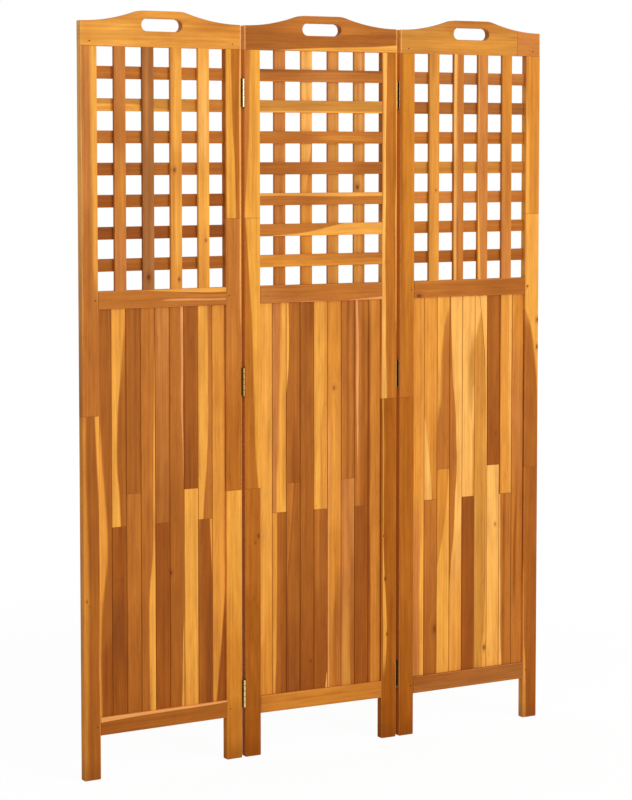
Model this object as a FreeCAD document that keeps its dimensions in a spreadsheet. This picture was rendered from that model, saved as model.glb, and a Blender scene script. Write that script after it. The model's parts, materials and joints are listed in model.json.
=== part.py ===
"""Three-panel folding screen in oiled hardwood.

Each panel is a mortise-and-tenon frame that stands on the feet of its stiles. Its
lower field holds nine tongue-and-groove boards and its upper field a lattice of
slats in two layers, four upright and seven across. The top rail has a raised crest
with a hand slot. Three brass butt hinges join each pair of panels. Those of the left
pair have their pins in front and those of the right pair behind, so the screen
folds up like a Z.

The part's frame is in millimetres: +Z up, +X along the middle panel to the viewer's
right, +Y away from the viewer, origin on the floor under the middle panel's centre.
A panel's own frame has the same directions, with its origin at the panel's front
lower left corner. The middle panel is the same panel turned round, so its upright
slats and brads are on the far side.
"""
import FreeCAD, Part
import math
import os
import re
import Sketcher

Vector = FreeCAD.Vector
Rotation = FreeCAD.Rotation
Placement = FreeCAD.Placement

# Driving dimensions in millimetres, save for the counts and the angles in degrees
SIZES = {
    # Whole panel
    "panel_width": 398,
    "panel_gap": 8,
    "frame_thickness": 20,
    "corner_height": 1675,
    "foot_height": 98,
    "lattice_height": 535,
    # Frame members
    "stile_width": 40,
    "top_rail_height": 55,
    "middle_rail_height": 40,
    "bottom_rail_height": 40,
    "edge_round": 2.5,
    # Crest and hand slot of the top rail
    "crest_rise": 25,
    "crest_flat": 88,
    "crest_round": 60,
    "hand_slot_length": 100,
    "hand_slot_height": 28,
    "hand_slot_drop": 31,
    # Mortise and tenon joints
    "tenon_thickness": 8,
    "tenon_shoulder": 6,
    "top_tenon_length": 24,
    "mortise_room": 1,
    "mortise_wall": 1.5,
    "joint_clearance": 0.15,
    # Boards of the lower field
    "board_count": 9,
    "board_thickness": 6,
    "board_housing": 3,
    "board_vee": 1.2,
    "tongue_length": 3,
    "tongue_thickness": 2,
    # Lattice of the upper field
    "upright_count": 4,
    "crossbar_count": 7,
    "slat_width": 28,
    "slat_recess": 1,
    "slat_housing": 6,
    "slat_round": 1.2,
    # Brads that lock the frame joints
    "brad_radius": 0.9,
    "brad_head_radius": 1.6,
    "brad_head_height": 0.8,
    "brad_sink": 0.5,
    "brad_cover": 4.5,
    "brad_clearance": 0.05,
    "brad_inset": 8,
    "top_brad_inset": 22,
    "top_brad_rise": 11,
    # Hinges
    "hinge_length": 64,
    "lower_hinge_height": 149,
    "middle_hinge_height": 868,
    "upper_hinge_drop": 97,
    "knuckle_count": 5,
    "knuckle_gap": 0.3,
    "leaf_thickness": 1.5,
    "leaf_margin": 3,
    "leaf_clearance": 0.4,
    "pin_radius": 2,
    "pin_clearance": 0.05,
    "pin_offset": 1,
    "pin_tip": 0.6,
    # Hinge screws
    "screws_per_leaf": 3,
    "screw_margin": 11,
    "screw_length": 15,
    "screw_radius": 1.5,
    "screw_head_radius": 3,
    "screw_tip": 4,
    "screw_point_radius": 0.3,
    "screw_clearance": 0.1,
    "recess_length": 3.6,
    "recess_width": 0.7,
    "recess_depth": 0.8,
    # How far a cut runs past the face that it leaves by
    "cut_overrun": 1,
    # Rest pose: how far each outer panel is folded from flat
    "left_fold_degrees": 3,
    "right_fold_degrees": 2,
}

# Places and sizes that several pieces share, as formulas of the driving dimensions
MID_PLANE = "(frame_thickness / 2)"
INNER_WIDTH = "(panel_width - 2 * stile_width)"
STILE_TOP = "(corner_height - top_rail_height)"
LATTICE_FOOT = "(%s - lattice_height)" % STILE_TOP
MIDDLE_RAIL_FOOT = "(%s - middle_rail_height)" % LATTICE_FOOT
BOTTOM_RAIL_TOP = "(foot_height + bottom_rail_height)"
CREST_TOP = "(corner_height + crest_rise)"
TENON_LENGTH = "(stile_width - screw_length + leaf_thickness - mortise_room - mortise_wall)"
TENON_FRONT = "(%s - tenon_thickness / 2)" % MID_PLANE
BOARD_FRONT = "(%s - board_thickness / 2)" % MID_PLANE
BOARD_PITCH = "((%s + 2 * board_housing) / board_count)" % INNER_WIDTH
SLAT_THICKNESS = "(%s - slat_recess)" % MID_PLANE
UPRIGHT_PITCH = "((%s - upright_count * slat_width) / (upright_count + 1) + slat_width)" % INNER_WIDTH
CROSSBAR_PITCH = "((lattice_height - crossbar_count * slat_width) / (crossbar_count + 1) + slat_width)"
FIRST_UPRIGHT = "(stile_width + %s - slat_width)" % UPRIGHT_PITCH
FIRST_CROSSBAR = "(%s + %s - slat_width)" % (LATTICE_FOOT, CROSSBAR_PITCH)
BRAD_LENGTH = "(frame_thickness - brad_sink - brad_cover)"
BARREL_RADIUS = "(panel_gap / 2)"
KNUCKLE_PITCH = "(hinge_length / knuckle_count)"
SCREW_PITCH = "((hinge_length - 2 * screw_margin) / (screws_per_leaf - 1))"
HINGE_HEIGHTS = {
    "lower": "lower_hinge_height",
    "middle": "middle_hinge_height",
    "upper": "(%s - upper_hinge_drop)" % STILE_TOP,
}

# Rotations that lay a cylinder's axis along a direction
ALONG = {
    "x": Rotation(Vector(0, 1, 0), 90),
    "-x": Rotation(Vector(0, 1, 0), -90),
    "y": Rotation(Vector(1, 0, 0), -90),
    "-y": Rotation(Vector(1, 0, 0), 90),
    "z": Rotation(),
}

doc = FreeCAD.newDocument("FoldingScreen")
sheet = doc.addObject("Spreadsheet::Sheet", "Sizes")
nodes = []


def fill_sheet():
    """Put every driving dimension in the sheet under its own name."""
    for row, (name, size) in enumerate(SIZES.items(), 1):
        sheet.set("A%d" % row, name)
        sheet.set("B%d" % row, str(size))
        sheet.setAlias("B%d" % row, name)
    doc.recompute()


def value(text):
    """The number that a formula of driving dimensions gives."""
    return float(sheet.evalExpression(text))


def tie(item, prop, text):
    """Bind a property to a formula of driving dimensions in the sheet."""
    item.setExpression(prop, re.sub(r"[a-z]+_\w+", r"Sizes.\g<0>", text))


def tie_place(item, at):
    """Bind the place of a feature in its body to three formulas."""
    for axis, text in zip("xyz", at):
        tie(item, "Placement.Base." + axis, text)


class Panel:
    """One panel: its name, whether it is turned round, and where it stands."""

    def __init__(self, name, turned=False):
        self.name = name
        self.turned = turned
        self.placement = Placement()

    def depth(self, start, size="0"):
        """The front of a span of the thickness, mirrored on a turned panel."""
        return "(frame_thickness - (%s) - (%s))" % (start, size) if self.turned else "(%s)" % start

    def inward(self):
        """The direction that the brads are driven in."""
        return "-y" if self.turned else "y"


def across(side, start, size="0"):
    """The left end of a span of the width, mirrored on the right side."""
    return "(panel_width - (%s) - (%s))" % (start, size) if side == "right" else "(%s)" % start


def new_body(label):
    """An empty body under its own label."""
    body = doc.addObject("PartDesign::Body", label)
    body.AllowCompound = True
    body.Label = label
    return body


def origin_part(body, role):
    """A plane or axis of the body's own origin."""
    return next(item for item in body.Origin.OriginFeatures if item.Role == role)


def primitive(body, kind, name, at, along="z", **sizes):
    """A primitive with its sizes and its place bound to formulas.

    In a body it is a feature that adds material. Without one it is the space
    that a cut takes away.
    """
    if body:
        item = body.newObject("PartDesign::Additive" + kind, name)
        body.Tip = item
    else:
        item = doc.addObject("Part::" + kind, name)
    item.Placement = Placement(Vector(), ALONG[along])
    for prop, text in sizes.items():
        tie(item, prop, text)
    tie_place(item, at)
    return item


def box(body, name, at, size):
    """A block from its lower front left corner."""
    return primitive(body, "Box", name, at, Length=size[0], Width=size[1], Height=size[2])


def rod(body, name, at, along, radius, length):
    """A cylinder from the centre of its first end."""
    return primitive(body, "Cylinder", name, at, along, Radius=radius, Height=length)


def cone(body, name, at, along, first, last, length):
    """A cone from the centre of its first end."""
    return primitive(body, "Cone", name, at, along, Radius1=first, Radius2=last, Height=length)


def steps(count):
    """The numbers of the copies in a row whose count is a formula."""
    return range(int(value(count)))


def row(body, axis, pitch, count, feature=None):
    """Copies of one feature, or else of the whole body, at an even pitch."""
    if not feature:
        body.Tip.recompute(True)
    pattern = body.newObject("PartDesign::LinearPattern", "Row")
    if feature:
        pattern.Originals = [feature]
    else:
        pattern.TransformMode = "Whole shape"
    pattern.Direction = (origin_part(body, axis), [""])
    tie(pattern, "Length", "%s * (%s - 1)" % (pitch, count))
    tie(pattern, "Occurrences", count)
    body.Tip = pattern
    return pattern


def on_plane(edge, axis, place):
    """Whether an edge lies in the plane across an axis at a place."""
    span = (getattr(edge.BoundBox, axis + end) for end in ("Min", "Max"))
    return all(math.isclose(end, place, abs_tol=1e-4) for end in span)


def rounded(body, feature, radius, wanted):
    """Round the edges of a feature that a test picks."""
    feature.recompute(True)
    names = ["Edge%d" % number for number, edge in enumerate(feature.Shape.Edges, 1) if wanted(edge)]
    fillet = body.newObject("PartDesign::Fillet", "Round")
    fillet.Base = (feature, names)
    tie(fillet, "Radius", radius)
    body.Tip = fillet
    return fillet


def new_sketch(body, name, role):
    """An empty sketch on one of the body's own origin planes."""
    sketch = body.newObject("Sketcher::SketchObject", name)
    sketch.AttachmentSupport = (origin_part(body, role), [""])
    sketch.MapMode = "FlatFace"
    return sketch


def pin_point(sketch, curve, end, x="", y=""):
    """Bind the coordinates of a curve's end or centre in a sketch to formulas."""
    for kind, text in (("DistanceX", x), ("DistanceY", y)):
        if text:
            index = sketch.addConstraint(Sketcher.Constraint(kind, -1, 1, curve, end, value(text)))
            tie(sketch, "Constraints[%d]" % index, text)


def line(sketch, start, end):
    """A line between two points given as pairs of formulas."""
    ends = [Vector(value(x), value(y), 0) for x, y in (start, end)]
    return sketch.addGeometry(Part.LineSegment(*ends), False)


def arc(sketch, centre, radius, first, last):
    """An arc about a centre given by formulas, between two angles in degrees."""
    circle = Part.Circle(Vector(value(centre[0]), value(centre[1]), 0), Vector(0, 0, 1), radius)
    return sketch.addGeometry(Part.ArcOfCircle(circle, math.radians(first), math.radians(last)), False)


def meet(sketch, first, first_end, second, second_end, kind="Coincident"):
    """Join the ends of two curves, tangent where the kind says so."""
    sketch.addConstraint(Sketcher.Constraint(kind, first, first_end, second, second_end))


def polygon(sketch, points):
    """A closed outline of straight lines through points given by formulas."""
    lines = [line(sketch, point, points[(index + 1) % len(points)]) for index, point in enumerate(points)]
    for index, (x, y) in enumerate(points):
        meet(sketch, lines[index - 1], 2, lines[index], 1)
        pin_point(sketch, lines[index], 1, x, y)


def keep(item, placement):
    """Place a finished sub-part and put it on the list of nodes."""
    item.Placement = placement
    nodes.append(item)


def together(kind, label, **links):
    """One object made of others: a compound, or one cut from another."""
    item = doc.addObject("Part::" + kind, label)
    item.Label = label
    for prop, linked in links.items():
        setattr(item, prop, linked)
    return item


def carve(label, body, tools):
    """A body less the space of its tools."""
    space = together("Compound", label + "_cuts", Links=tools)
    return together("Cut", label, Base=body, Tool=space)


def brad_holes(panel, inset, height, sides=("left", "right")):
    """Holes for the brads of one joint height, with seats for their heads."""
    tools = []
    for side in sides:
        at = (across(side, inset), panel.depth("-cut_overrun"), height)
        length = "cut_overrun + brad_sink + %s + brad_clearance" % BRAD_LENGTH
        seat = "cut_overrun + brad_sink + brad_head_height + brad_clearance"
        bore, recess = "brad_radius + brad_clearance", "brad_head_radius + brad_clearance"
        tools.append(rod(None, "BradHole", at, panel.inward(), bore, length))
        tools.append(rod(None, "BradSeat", at, panel.inward(), recess, seat))
    return tools


# Heights of the joints that brads lock, with the brads' inset from the panel's side
BRAD_ROWS = {
    "bottom": ("stile_width - brad_inset", "foot_height + bottom_rail_height / 2"),
    "middle": ("stile_width - brad_inset", "%s + middle_rail_height / 2" % MIDDLE_RAIL_FOOT),
    "top": ("top_brad_inset", "%s + top_brad_rise" % STILE_TOP),
}


def upright_housings(panel, foot, height):
    """A row of pockets for the ends of the upright slats."""
    thickness = "%s + 2 * joint_clearance" % SLAT_THICKNESS
    y = panel.depth("slat_recess - joint_clearance", thickness)
    size = ("slat_width + 2 * joint_clearance", thickness, height)
    first = "%s - joint_clearance" % FIRST_UPRIGHT
    places = ["%s + %d * %s" % (first, step, UPRIGHT_PITCH) for step in steps("upright_count")]
    return [box(None, "Housing", (x, y, foot), size) for x in places]


def crossbar_housings(panel, side):
    """A row of pockets for the ends of the crossbar slats in a stile."""
    reach = "slat_housing + joint_clearance + cut_overrun"
    thickness = "%s + 2 * joint_clearance" % SLAT_THICKNESS
    x = across(side, "stile_width - slat_housing - joint_clearance", reach)
    y = panel.depth(MID_PLANE + " - joint_clearance", thickness)
    size = (reach, thickness, "slat_width + 2 * joint_clearance")
    first = "%s - joint_clearance" % FIRST_CROSSBAR
    places = ["%s + %d * %s" % (first, step, CROSSBAR_PITCH) for step in steps("crossbar_count")]
    return [box(None, "Housing", (x, y, z), size) for z in places]


def rail_mortise(side, foot, height):
    """The mortise for a rail's tenon in the inner face of a stile."""
    depth = "%s + mortise_room" % TENON_LENGTH
    at = (
        across(side, "stile_width - (%s)" % depth, "%s + cut_overrun" % depth),
        "%s - joint_clearance" % TENON_FRONT,
        "%s + tenon_shoulder - joint_clearance" % foot,
    )
    size = (
        "%s + cut_overrun" % depth,
        "tenon_thickness + 2 * joint_clearance",
        "%s - 2 * tenon_shoulder + 2 * joint_clearance" % height,
    )
    return box(None, "Mortise", at, size)


def board_groove(side):
    """The stopped groove for the boards in the inner face of a stile."""
    reach = "board_housing + cut_overrun"
    foot = "%s - board_housing" % BOTTOM_RAIL_TOP
    at = (
        across(side, "stile_width - board_housing", reach),
        "%s - joint_clearance" % BOARD_FRONT,
        foot,
    )
    height = "%s + board_housing - (%s)" % (MIDDLE_RAIL_FOOT, foot)
    return box(None, "Groove", at, (reach, "board_thickness + 2 * joint_clearance", height))


def screw_direction(side):
    """The direction that hinge screws are driven in from one side of a panel."""
    return "-x" if side == "right" else "x"


def screw_heights(hinge):
    """The heights of the screws of one hinge."""
    first = "%s - hinge_length / 2 + screw_margin" % HINGE_HEIGHTS[hinge]
    return ["%s + %d * %s" % (first, step, SCREW_PITCH) for step in steps("screws_per_leaf")]


def hinge_pilots(side):
    """Pilot holes for the hinge screws in the outer edge of a stile."""
    length = "cut_overrun + screw_length - leaf_thickness + screw_clearance"
    radius = "screw_radius + screw_clearance"
    heights = [height for hinge in HINGE_HEIGHTS for height in screw_heights(hinge)]
    places = [(across(side, "-cut_overrun"), MID_PLANE, height) for height in heights]
    return [rod(None, "Pilot", at, screw_direction(side), radius, length) for at in places]


def make_stile(panel, side, hinged):
    """A stile with its foot, its joints and the holes for its fastenings."""
    label = "%s_%s_stile" % (panel.name, side)
    body = new_body(label + "_blank")
    size = ("stile_width", "frame_thickness", STILE_TOP)
    blank = box(body, "Blank", (across(side, "0", "stile_width"), "0", "0"), size)
    top = value(STILE_TOP)
    rounded(body, blank, "edge_round", lambda edge: not on_plane(edge, "Z", top))
    tenon = "stile_width - 2 * tenon_shoulder"
    at = (across(side, "tenon_shoulder", tenon), TENON_FRONT, "%s - edge_round" % STILE_TOP)
    box(body, "Tenon", at, (tenon, "tenon_thickness", "top_tenon_length + edge_round"))
    tools = [
        rail_mortise(side, "foot_height", "bottom_rail_height"),
        rail_mortise(side, MIDDLE_RAIL_FOOT, "middle_rail_height"),
        board_groove(side),
    ]
    tools += crossbar_housings(panel, side)
    for inset, height in BRAD_ROWS.values():
        tools += brad_holes(panel, inset, height, [side])
    if hinged:
        tools += hinge_pilots(side)
    keep(carve(label, body, tools), panel.placement)


def make_rail(panel, name, foot, height, tools):
    """A rail between the stiles, with its tenons and what is cut from it."""
    label = "%s_%s_rail" % (panel.name, name)
    body = new_body(label + "_blank")
    blank = box(body, "Blank", ("stile_width", "0", foot), (INNER_WIDTH, "frame_thickness", height))
    rounded(body, blank, "edge_round", lambda edge: math.isclose(edge.BoundBox.XLength, value(INNER_WIDTH)))
    at = ("stile_width - %s" % TENON_LENGTH, TENON_FRONT, "%s + tenon_shoulder" % foot)
    length = "%s + 2 * %s" % (INNER_WIDTH, TENON_LENGTH)
    box(body, "Tenons", at, (length, "tenon_thickness", "%s - 2 * tenon_shoulder" % height))
    keep(carve(label, body, tools + brad_holes(panel, *BRAD_ROWS[name])), panel.placement)


def rail_groove(foot):
    """The groove for the boards' ends in a rail."""
    at = ("stile_width - cut_overrun", "%s - joint_clearance" % BOARD_FRONT, foot)
    size = (
        "%s + 2 * cut_overrun" % INNER_WIDTH,
        "board_thickness + 2 * joint_clearance",
        "board_housing + cut_overrun",
    )
    return box(None, "Groove", at, size)


def make_bottom_rail(panel):
    """The rail between the feet, grooved on top for the boards."""
    groove = rail_groove("%s - board_housing" % BOTTOM_RAIL_TOP)
    make_rail(panel, "bottom", "foot_height", "bottom_rail_height", [groove])


def make_middle_rail(panel):
    """The rail between boards and lattice, grooved below and housed above."""
    foot = "%s - slat_housing" % LATTICE_FOOT
    tools = upright_housings(panel, foot, "slat_housing + cut_overrun")
    tools.append(rail_groove("%s - cut_overrun" % MIDDLE_RAIL_FOOT))
    make_rail(panel, "middle", MIDDLE_RAIL_FOOT, "middle_rail_height", tools)


def crest_arcs(sketch):
    """The two arcs on each side of the crest, from its corners to its flat."""
    reach = value("(panel_width - crest_flat) / 2")
    turn = 2 * math.degrees(math.atan(value("crest_rise") / reach))
    convex = value("crest_round")
    concave = reach / math.sin(math.radians(turn)) - convex
    centre_height = "%s - crest_round" % CREST_TOP
    right = ("(panel_width + crest_flat) / 2", centre_height)
    left = ("(panel_width - crest_flat) / 2", centre_height)
    hollow_height = "corner_height + %r" % concave
    down, up = -90, 90
    return (
        arc(sketch, ("panel_width", hollow_height), concave, down - turn, down),
        arc(sketch, right, convex, up - turn, up),
        arc(sketch, left, convex, up, up + turn),
        arc(sketch, ("0", hollow_height), concave, down, down + turn),
    )


def crest_outline(sketch):
    """The closed outline of the top rail: straight below and crested above."""
    corners = [("0", STILE_TOP), ("panel_width", STILE_TOP), ("panel_width", "corner_height")]
    flat = [("(panel_width + crest_flat) / 2", CREST_TOP), ("(panel_width - crest_flat) / 2", CREST_TOP)]
    under = line(sketch, corners[0], corners[1])
    right = line(sketch, corners[1], corners[2])
    right_hollow, right_round, left_round, left_hollow = crest_arcs(sketch)
    top = line(sketch, flat[0], flat[1])
    left = line(sketch, ("0", "corner_height"), corners[0])
    meet(sketch, under, 2, right, 1)
    meet(sketch, right, 2, right_hollow, 2)
    meet(sketch, right_hollow, 1, right_round, 1, "Tangent")
    meet(sketch, right_round, 2, top, 1)
    meet(sketch, top, 2, left_round, 1)
    meet(sketch, left_round, 2, left_hollow, 2, "Tangent")
    meet(sketch, left_hollow, 1, left, 1)
    meet(sketch, left, 2, under, 1)
    pin_point(sketch, under, 1, *corners[0])
    pin_point(sketch, right, 1, *corners[1])
    pin_point(sketch, right, 2, *corners[2])
    pin_point(sketch, left, 1, "0", "corner_height")
    pin_point(sketch, top, 1, *flat[0])
    pin_point(sketch, top, 2, *flat[1])
    pin_point(sketch, right_hollow, 3, x="panel_width")
    pin_point(sketch, left_hollow, 3, x="0")
    for curve, (x, _) in zip((right_round, left_round), flat):
        pin_point(sketch, curve, 3, x, "%s - crest_round" % CREST_TOP)


def slot_outline(sketch):
    """The hand slot: a stadium centred in the width below the crest."""
    radius = "hand_slot_height / 2"
    height = "%s - hand_slot_drop" % CREST_TOP
    right = ("(panel_width + hand_slot_length) / 2 - %s" % radius, height)
    left = ("(panel_width - hand_slot_length) / 2 + %s" % radius, height)
    low = [(x, "%s - %s" % (height, radius)) for x, _ in (left, right)]
    high = [(x, "%s + %s" % (height, radius)) for x, _ in (right, left)]
    bottom = line(sketch, *low)
    right_end = arc(sketch, right, value(radius), -90, 90)
    top = line(sketch, *high)
    left_end = arc(sketch, left, value(radius), 90, 270)
    for curve, following in ((bottom, right_end), (right_end, top), (top, left_end), (left_end, bottom)):
        meet(sketch, curve, 2, following, 1)
    for curve, points in ((bottom, low), (top, high)):
        pin_point(sketch, curve, 1, *points[0])
        pin_point(sketch, curve, 2, *points[1])
    pin_point(sketch, right_end, 3, x=right[0])
    pin_point(sketch, left_end, 3, x=left[0])


def top_mortises():
    """The mortises in the underside of the top rail for the stiles' tenons."""
    size = (
        "stile_width - 2 * tenon_shoulder + 2 * joint_clearance",
        "tenon_thickness + 2 * joint_clearance",
        "cut_overrun + top_tenon_length + mortise_room",
    )
    y, z = "%s - joint_clearance" % TENON_FRONT, "%s - cut_overrun" % STILE_TOP
    places = [across(side, "tenon_shoulder - joint_clearance", size[0]) for side in ("left", "right")]
    return [box(None, "Mortise", (x, y, z), size) for x in places]


def make_top_rail(panel):
    """The crested rail that lies over the stiles, with its hand slot."""
    label = "%s_top_rail" % panel.name
    body = new_body(label + "_blank")
    sketch = new_sketch(body, "Outline", "XZ_Plane")
    crest_outline(sketch)
    slot_outline(sketch)
    pad = body.newObject("PartDesign::Pad", "Blank")
    pad.Profile = sketch
    pad.Reversed = True
    tie(pad, "Length", "frame_thickness")
    body.Tip = pad
    corner, back = value("corner_height"), value("frame_thickness")
    eased = rounded(body, pad, "edge_round", lambda edge: on_plane(edge, "Z", corner))
    rounded(body, eased, "edge_round", lambda edge: on_plane(edge, "Y", 0) or on_plane(edge, "Y", back))
    height = "cut_overrun + slat_housing + joint_clearance"
    tools = top_mortises() + upright_housings(panel, "%s - cut_overrun" % STILE_TOP, height)
    keep(carve(label, body, tools + brad_holes(panel, *BRAD_ROWS["top"])), panel.placement)


def board_right_edge(number, x):
    """The outline of a board's right edge, from front to back."""
    front, back = BOARD_FRONT, "%s + board_thickness" % BOARD_FRONT
    if number == value("board_count"):
        return [(x, front), (x, back)]
    tongue = "tongue_thickness / 2"
    tip = "%s + tongue_length" % x
    return [
        ("%s - board_vee" % x, front),
        (x, "%s + board_vee" % front),
        (x, "%s - %s" % (MID_PLANE, tongue)),
        (tip, "%s - %s" % (MID_PLANE, tongue)),
        (tip, "%s + %s" % (MID_PLANE, tongue)),
        (x, "%s + %s" % (MID_PLANE, tongue)),
        (x, "%s - board_vee" % back),
        ("%s - board_vee" % x, back),
    ]


def board_left_edge(number, x):
    """The outline of a board's left edge, from back to front."""
    front, back = BOARD_FRONT, "%s + board_thickness" % BOARD_FRONT
    if number == 1:
        return [(x, back), (x, front)]
    groove = "(tongue_thickness / 2 + joint_clearance)"
    floor = "%s + tongue_length" % x
    return [
        ("%s + board_vee" % x, back),
        (x, "%s - board_vee" % back),
        (x, "%s + %s" % (MID_PLANE, groove)),
        (floor, "%s + %s" % (MID_PLANE, groove)),
        (floor, "%s - %s" % (MID_PLANE, groove)),
        (x, "%s - %s" % (MID_PLANE, groove)),
        (x, "%s + board_vee" % front),
        ("%s + board_vee" % x, front),
    ]


def make_board(panel, number):
    """A board with a tongue on its right edge and a groove in its left one."""
    body = new_body("%s_board_%d" % (panel.name, number))
    sketch = new_sketch(body, "Section", "XY_Plane")
    tie(sketch, "AttachmentOffset.Base.z", "%s - board_housing" % BOTTOM_RAIL_TOP)
    left = "(stile_width - board_housing + %s * %d)" % (BOARD_PITCH, number - 1)
    right = "(%s + %s - joint_clearance / 2)" % (left, BOARD_PITCH)
    left = "(%s + joint_clearance / 2)" % left
    polygon(sketch, board_right_edge(number, right) + board_left_edge(number, left))
    pad = body.newObject("PartDesign::Pad", "Board")
    pad.Profile = sketch
    height = "%s - %s + 2 * board_housing - joint_clearance"
    tie(pad, "Length", height % (MIDDLE_RAIL_FOOT, BOTTOM_RAIL_TOP))
    body.Tip = pad
    keep(body, panel.placement)


def make_uprights(panel):
    """The upright slats in the near layer of the lattice."""
    body = new_body("%s_upright_slats" % panel.name)
    at = (FIRST_UPRIGHT, panel.depth("slat_recess", SLAT_THICKNESS), "%s - slat_housing" % LATTICE_FOOT)
    size = ("slat_width", SLAT_THICKNESS, "lattice_height + 2 * slat_housing")
    slat = box(body, "Slat", at, size)
    length = value(size[2])
    rounded(body, slat, "slat_round", lambda edge: math.isclose(edge.BoundBox.ZLength, length))
    row(body, "X_Axis", UPRIGHT_PITCH, "upright_count")
    keep(body, panel.placement)


def make_crossbars(panel):
    """The slats that cross behind the uprights."""
    body = new_body("%s_crossbar_slats" % panel.name)
    at = ("stile_width - slat_housing", panel.depth(MID_PLANE, SLAT_THICKNESS), FIRST_CROSSBAR)
    size = ("%s + 2 * slat_housing" % INNER_WIDTH, SLAT_THICKNESS, "slat_width")
    slat = box(body, "Slat", at, size)
    length = value(size[0])
    rounded(body, slat, "slat_round", lambda edge: math.isclose(edge.BoundBox.XLength, length))
    row(body, "Z_Axis", CROSSBAR_PITCH, "crossbar_count")
    keep(body, panel.placement)


def make_brads(panel):
    """The brads of the six frame joints, sunk just below the face."""
    bodies = []
    for name, (inset, height) in BRAD_ROWS.items():
        body = new_body("%s_%s_brads" % (panel.name, name))
        at = (inset, panel.depth("brad_sink"), height)
        rod(body, "Head", at, panel.inward(), "brad_head_radius", "brad_head_height")
        rod(body, "Shank", at, panel.inward(), "brad_radius", BRAD_LENGTH)
        row(body, "X_Axis", "(panel_width - 2 * (%s))" % inset, "2")
        bodies.append(body)
    keep(together("Compound", "%s_joint_brads" % panel.name, Links=bodies), panel.placement)


def pin_place(side, pins_behind):
    """The x and y of a hinge's pin axis beside one side of a panel."""
    y = "(frame_thickness + pin_offset)" if pins_behind else "(-pin_offset)"
    return across(side, "-%s" % BARREL_RADIUS), y


def hinge_foot(hinge):
    """The height of a hinge's lower end."""
    return "(%s - hinge_length / 2)" % HINGE_HEIGHTS[hinge]


def knuckle_space(x, y, foot, number):
    """The clear space round one knuckle of the other leaf."""
    start = "%s + %s * %d - knuckle_gap / 2" % (foot, KNUCKLE_PITCH, number)
    radius = "%s + leaf_clearance" % BARREL_RADIUS
    return rod(None, "KnuckleSpace", (x, y, start), "z", radius, "%s + knuckle_gap" % KNUCKLE_PITCH)


def screw_holes(side, hinge):
    """Countersunk holes for a leaf's screws."""
    head, shank = "screw_head_radius + screw_clearance", "screw_radius + screw_clearance"
    face = across(side, "-leaf_thickness")
    inward = screw_direction(side)
    places = [(face, MID_PLANE, height) for height in screw_heights(hinge)]
    return [cone(None, "ScrewHole", at, inward, head, shank, "leaf_thickness") for at in places]


def make_leaf(panel, side, pins_behind, outer, hinge):
    """One leaf: its plate on the stile's edge and its knuckles round the pin."""
    label = "%s_%s_%s_leaf" % (panel.name, side, hinge)
    body = new_body(label + "_blank")
    x, y = pin_place(side, pins_behind)
    foot = hinge_foot(hinge)
    reach = "(frame_thickness + pin_offset - leaf_margin)"
    plate_y = "leaf_margin" if pins_behind else "(-pin_offset)"
    at = (across(side, "-leaf_thickness", "leaf_thickness"), plate_y, foot)
    box(body, "Plate", at, ("leaf_thickness", reach, "hinge_length"))
    own = 0 if outer else 1
    start = "%s + %s * %d + knuckle_gap / 2" % (foot, KNUCKLE_PITCH, own)
    height = "%s - knuckle_gap" % KNUCKLE_PITCH
    knuckle = rod(body, "Knuckle", (x, y, start), "z", BARREL_RADIUS, height)
    count = "ceil(knuckle_count / 2)" if outer else "floor(knuckle_count / 2)"
    row(body, "Z_Axis", "(2 * %s)" % KNUCKLE_PITCH, count, knuckle)
    others = [number for number in steps("knuckle_count") if number % 2 != own]
    tools = [knuckle_space(x, y, foot, number) for number in others] + screw_holes(side, hinge)
    bore, length = "pin_radius + pin_clearance", "hinge_length + 2 * cut_overrun"
    tools.append(rod(None, "Bore", (x, y, "%s - cut_overrun" % foot), "z", bore, length))
    return carve(label, body, tools)


def make_leaves(panel, side, pins_behind, outer):
    """The leaves that one side of a panel carries, one for each hinge."""
    leaves = [make_leaf(panel, side, pins_behind, outer, hinge) for hinge in HINGE_HEIGHTS]
    label = "%s_%s_hinge_leaves" % (panel.name, side)
    keep(together("Compound", label, Links=leaves), panel.placement)


def make_pins(name, panel, side, pins_behind):
    """The pins of one pair's hinges, with their ends chamfered."""
    bodies = []
    x, y = pin_place(side, pins_behind)
    for hinge in HINGE_HEIGHTS:
        body = new_body("%s_%s_pin" % (name, hinge))
        foot = hinge_foot(hinge)
        rod(body, "Pin", (x, y, foot), "z", "pin_radius", "hinge_length")
        small = "pin_radius - pin_tip"
        cone(body, "LowerTip", (x, y, "%s - pin_tip" % foot), "z", small, "pin_radius", "pin_tip")
        cone(body, "UpperTip", (x, y, "%s + hinge_length" % foot), "z", "pin_radius", small, "pin_tip")
        bodies.append(body)
    keep(together("Compound", "%s_pins" % name, Links=bodies), panel.placement)


def screw_blank(label, side, first):
    """A countersunk screw: its head, shank and tip."""
    body = new_body(label + "_blank")
    inward = screw_direction(side)
    face, wood = across(side, "-leaf_thickness"), across(side, "0")
    shank = "screw_length - leaf_thickness - screw_tip"
    radius, point = "screw_radius", "screw_point_radius"
    cone(body, "Head", (face, MID_PLANE, first), inward, "screw_head_radius", radius, "leaf_thickness")
    rod(body, "Shank", (wood, MID_PLANE, first), inward, radius, shank)
    cone(body, "Tip", (across(side, shank), MID_PLANE, first), inward, radius, point, "screw_tip")
    return body


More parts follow.
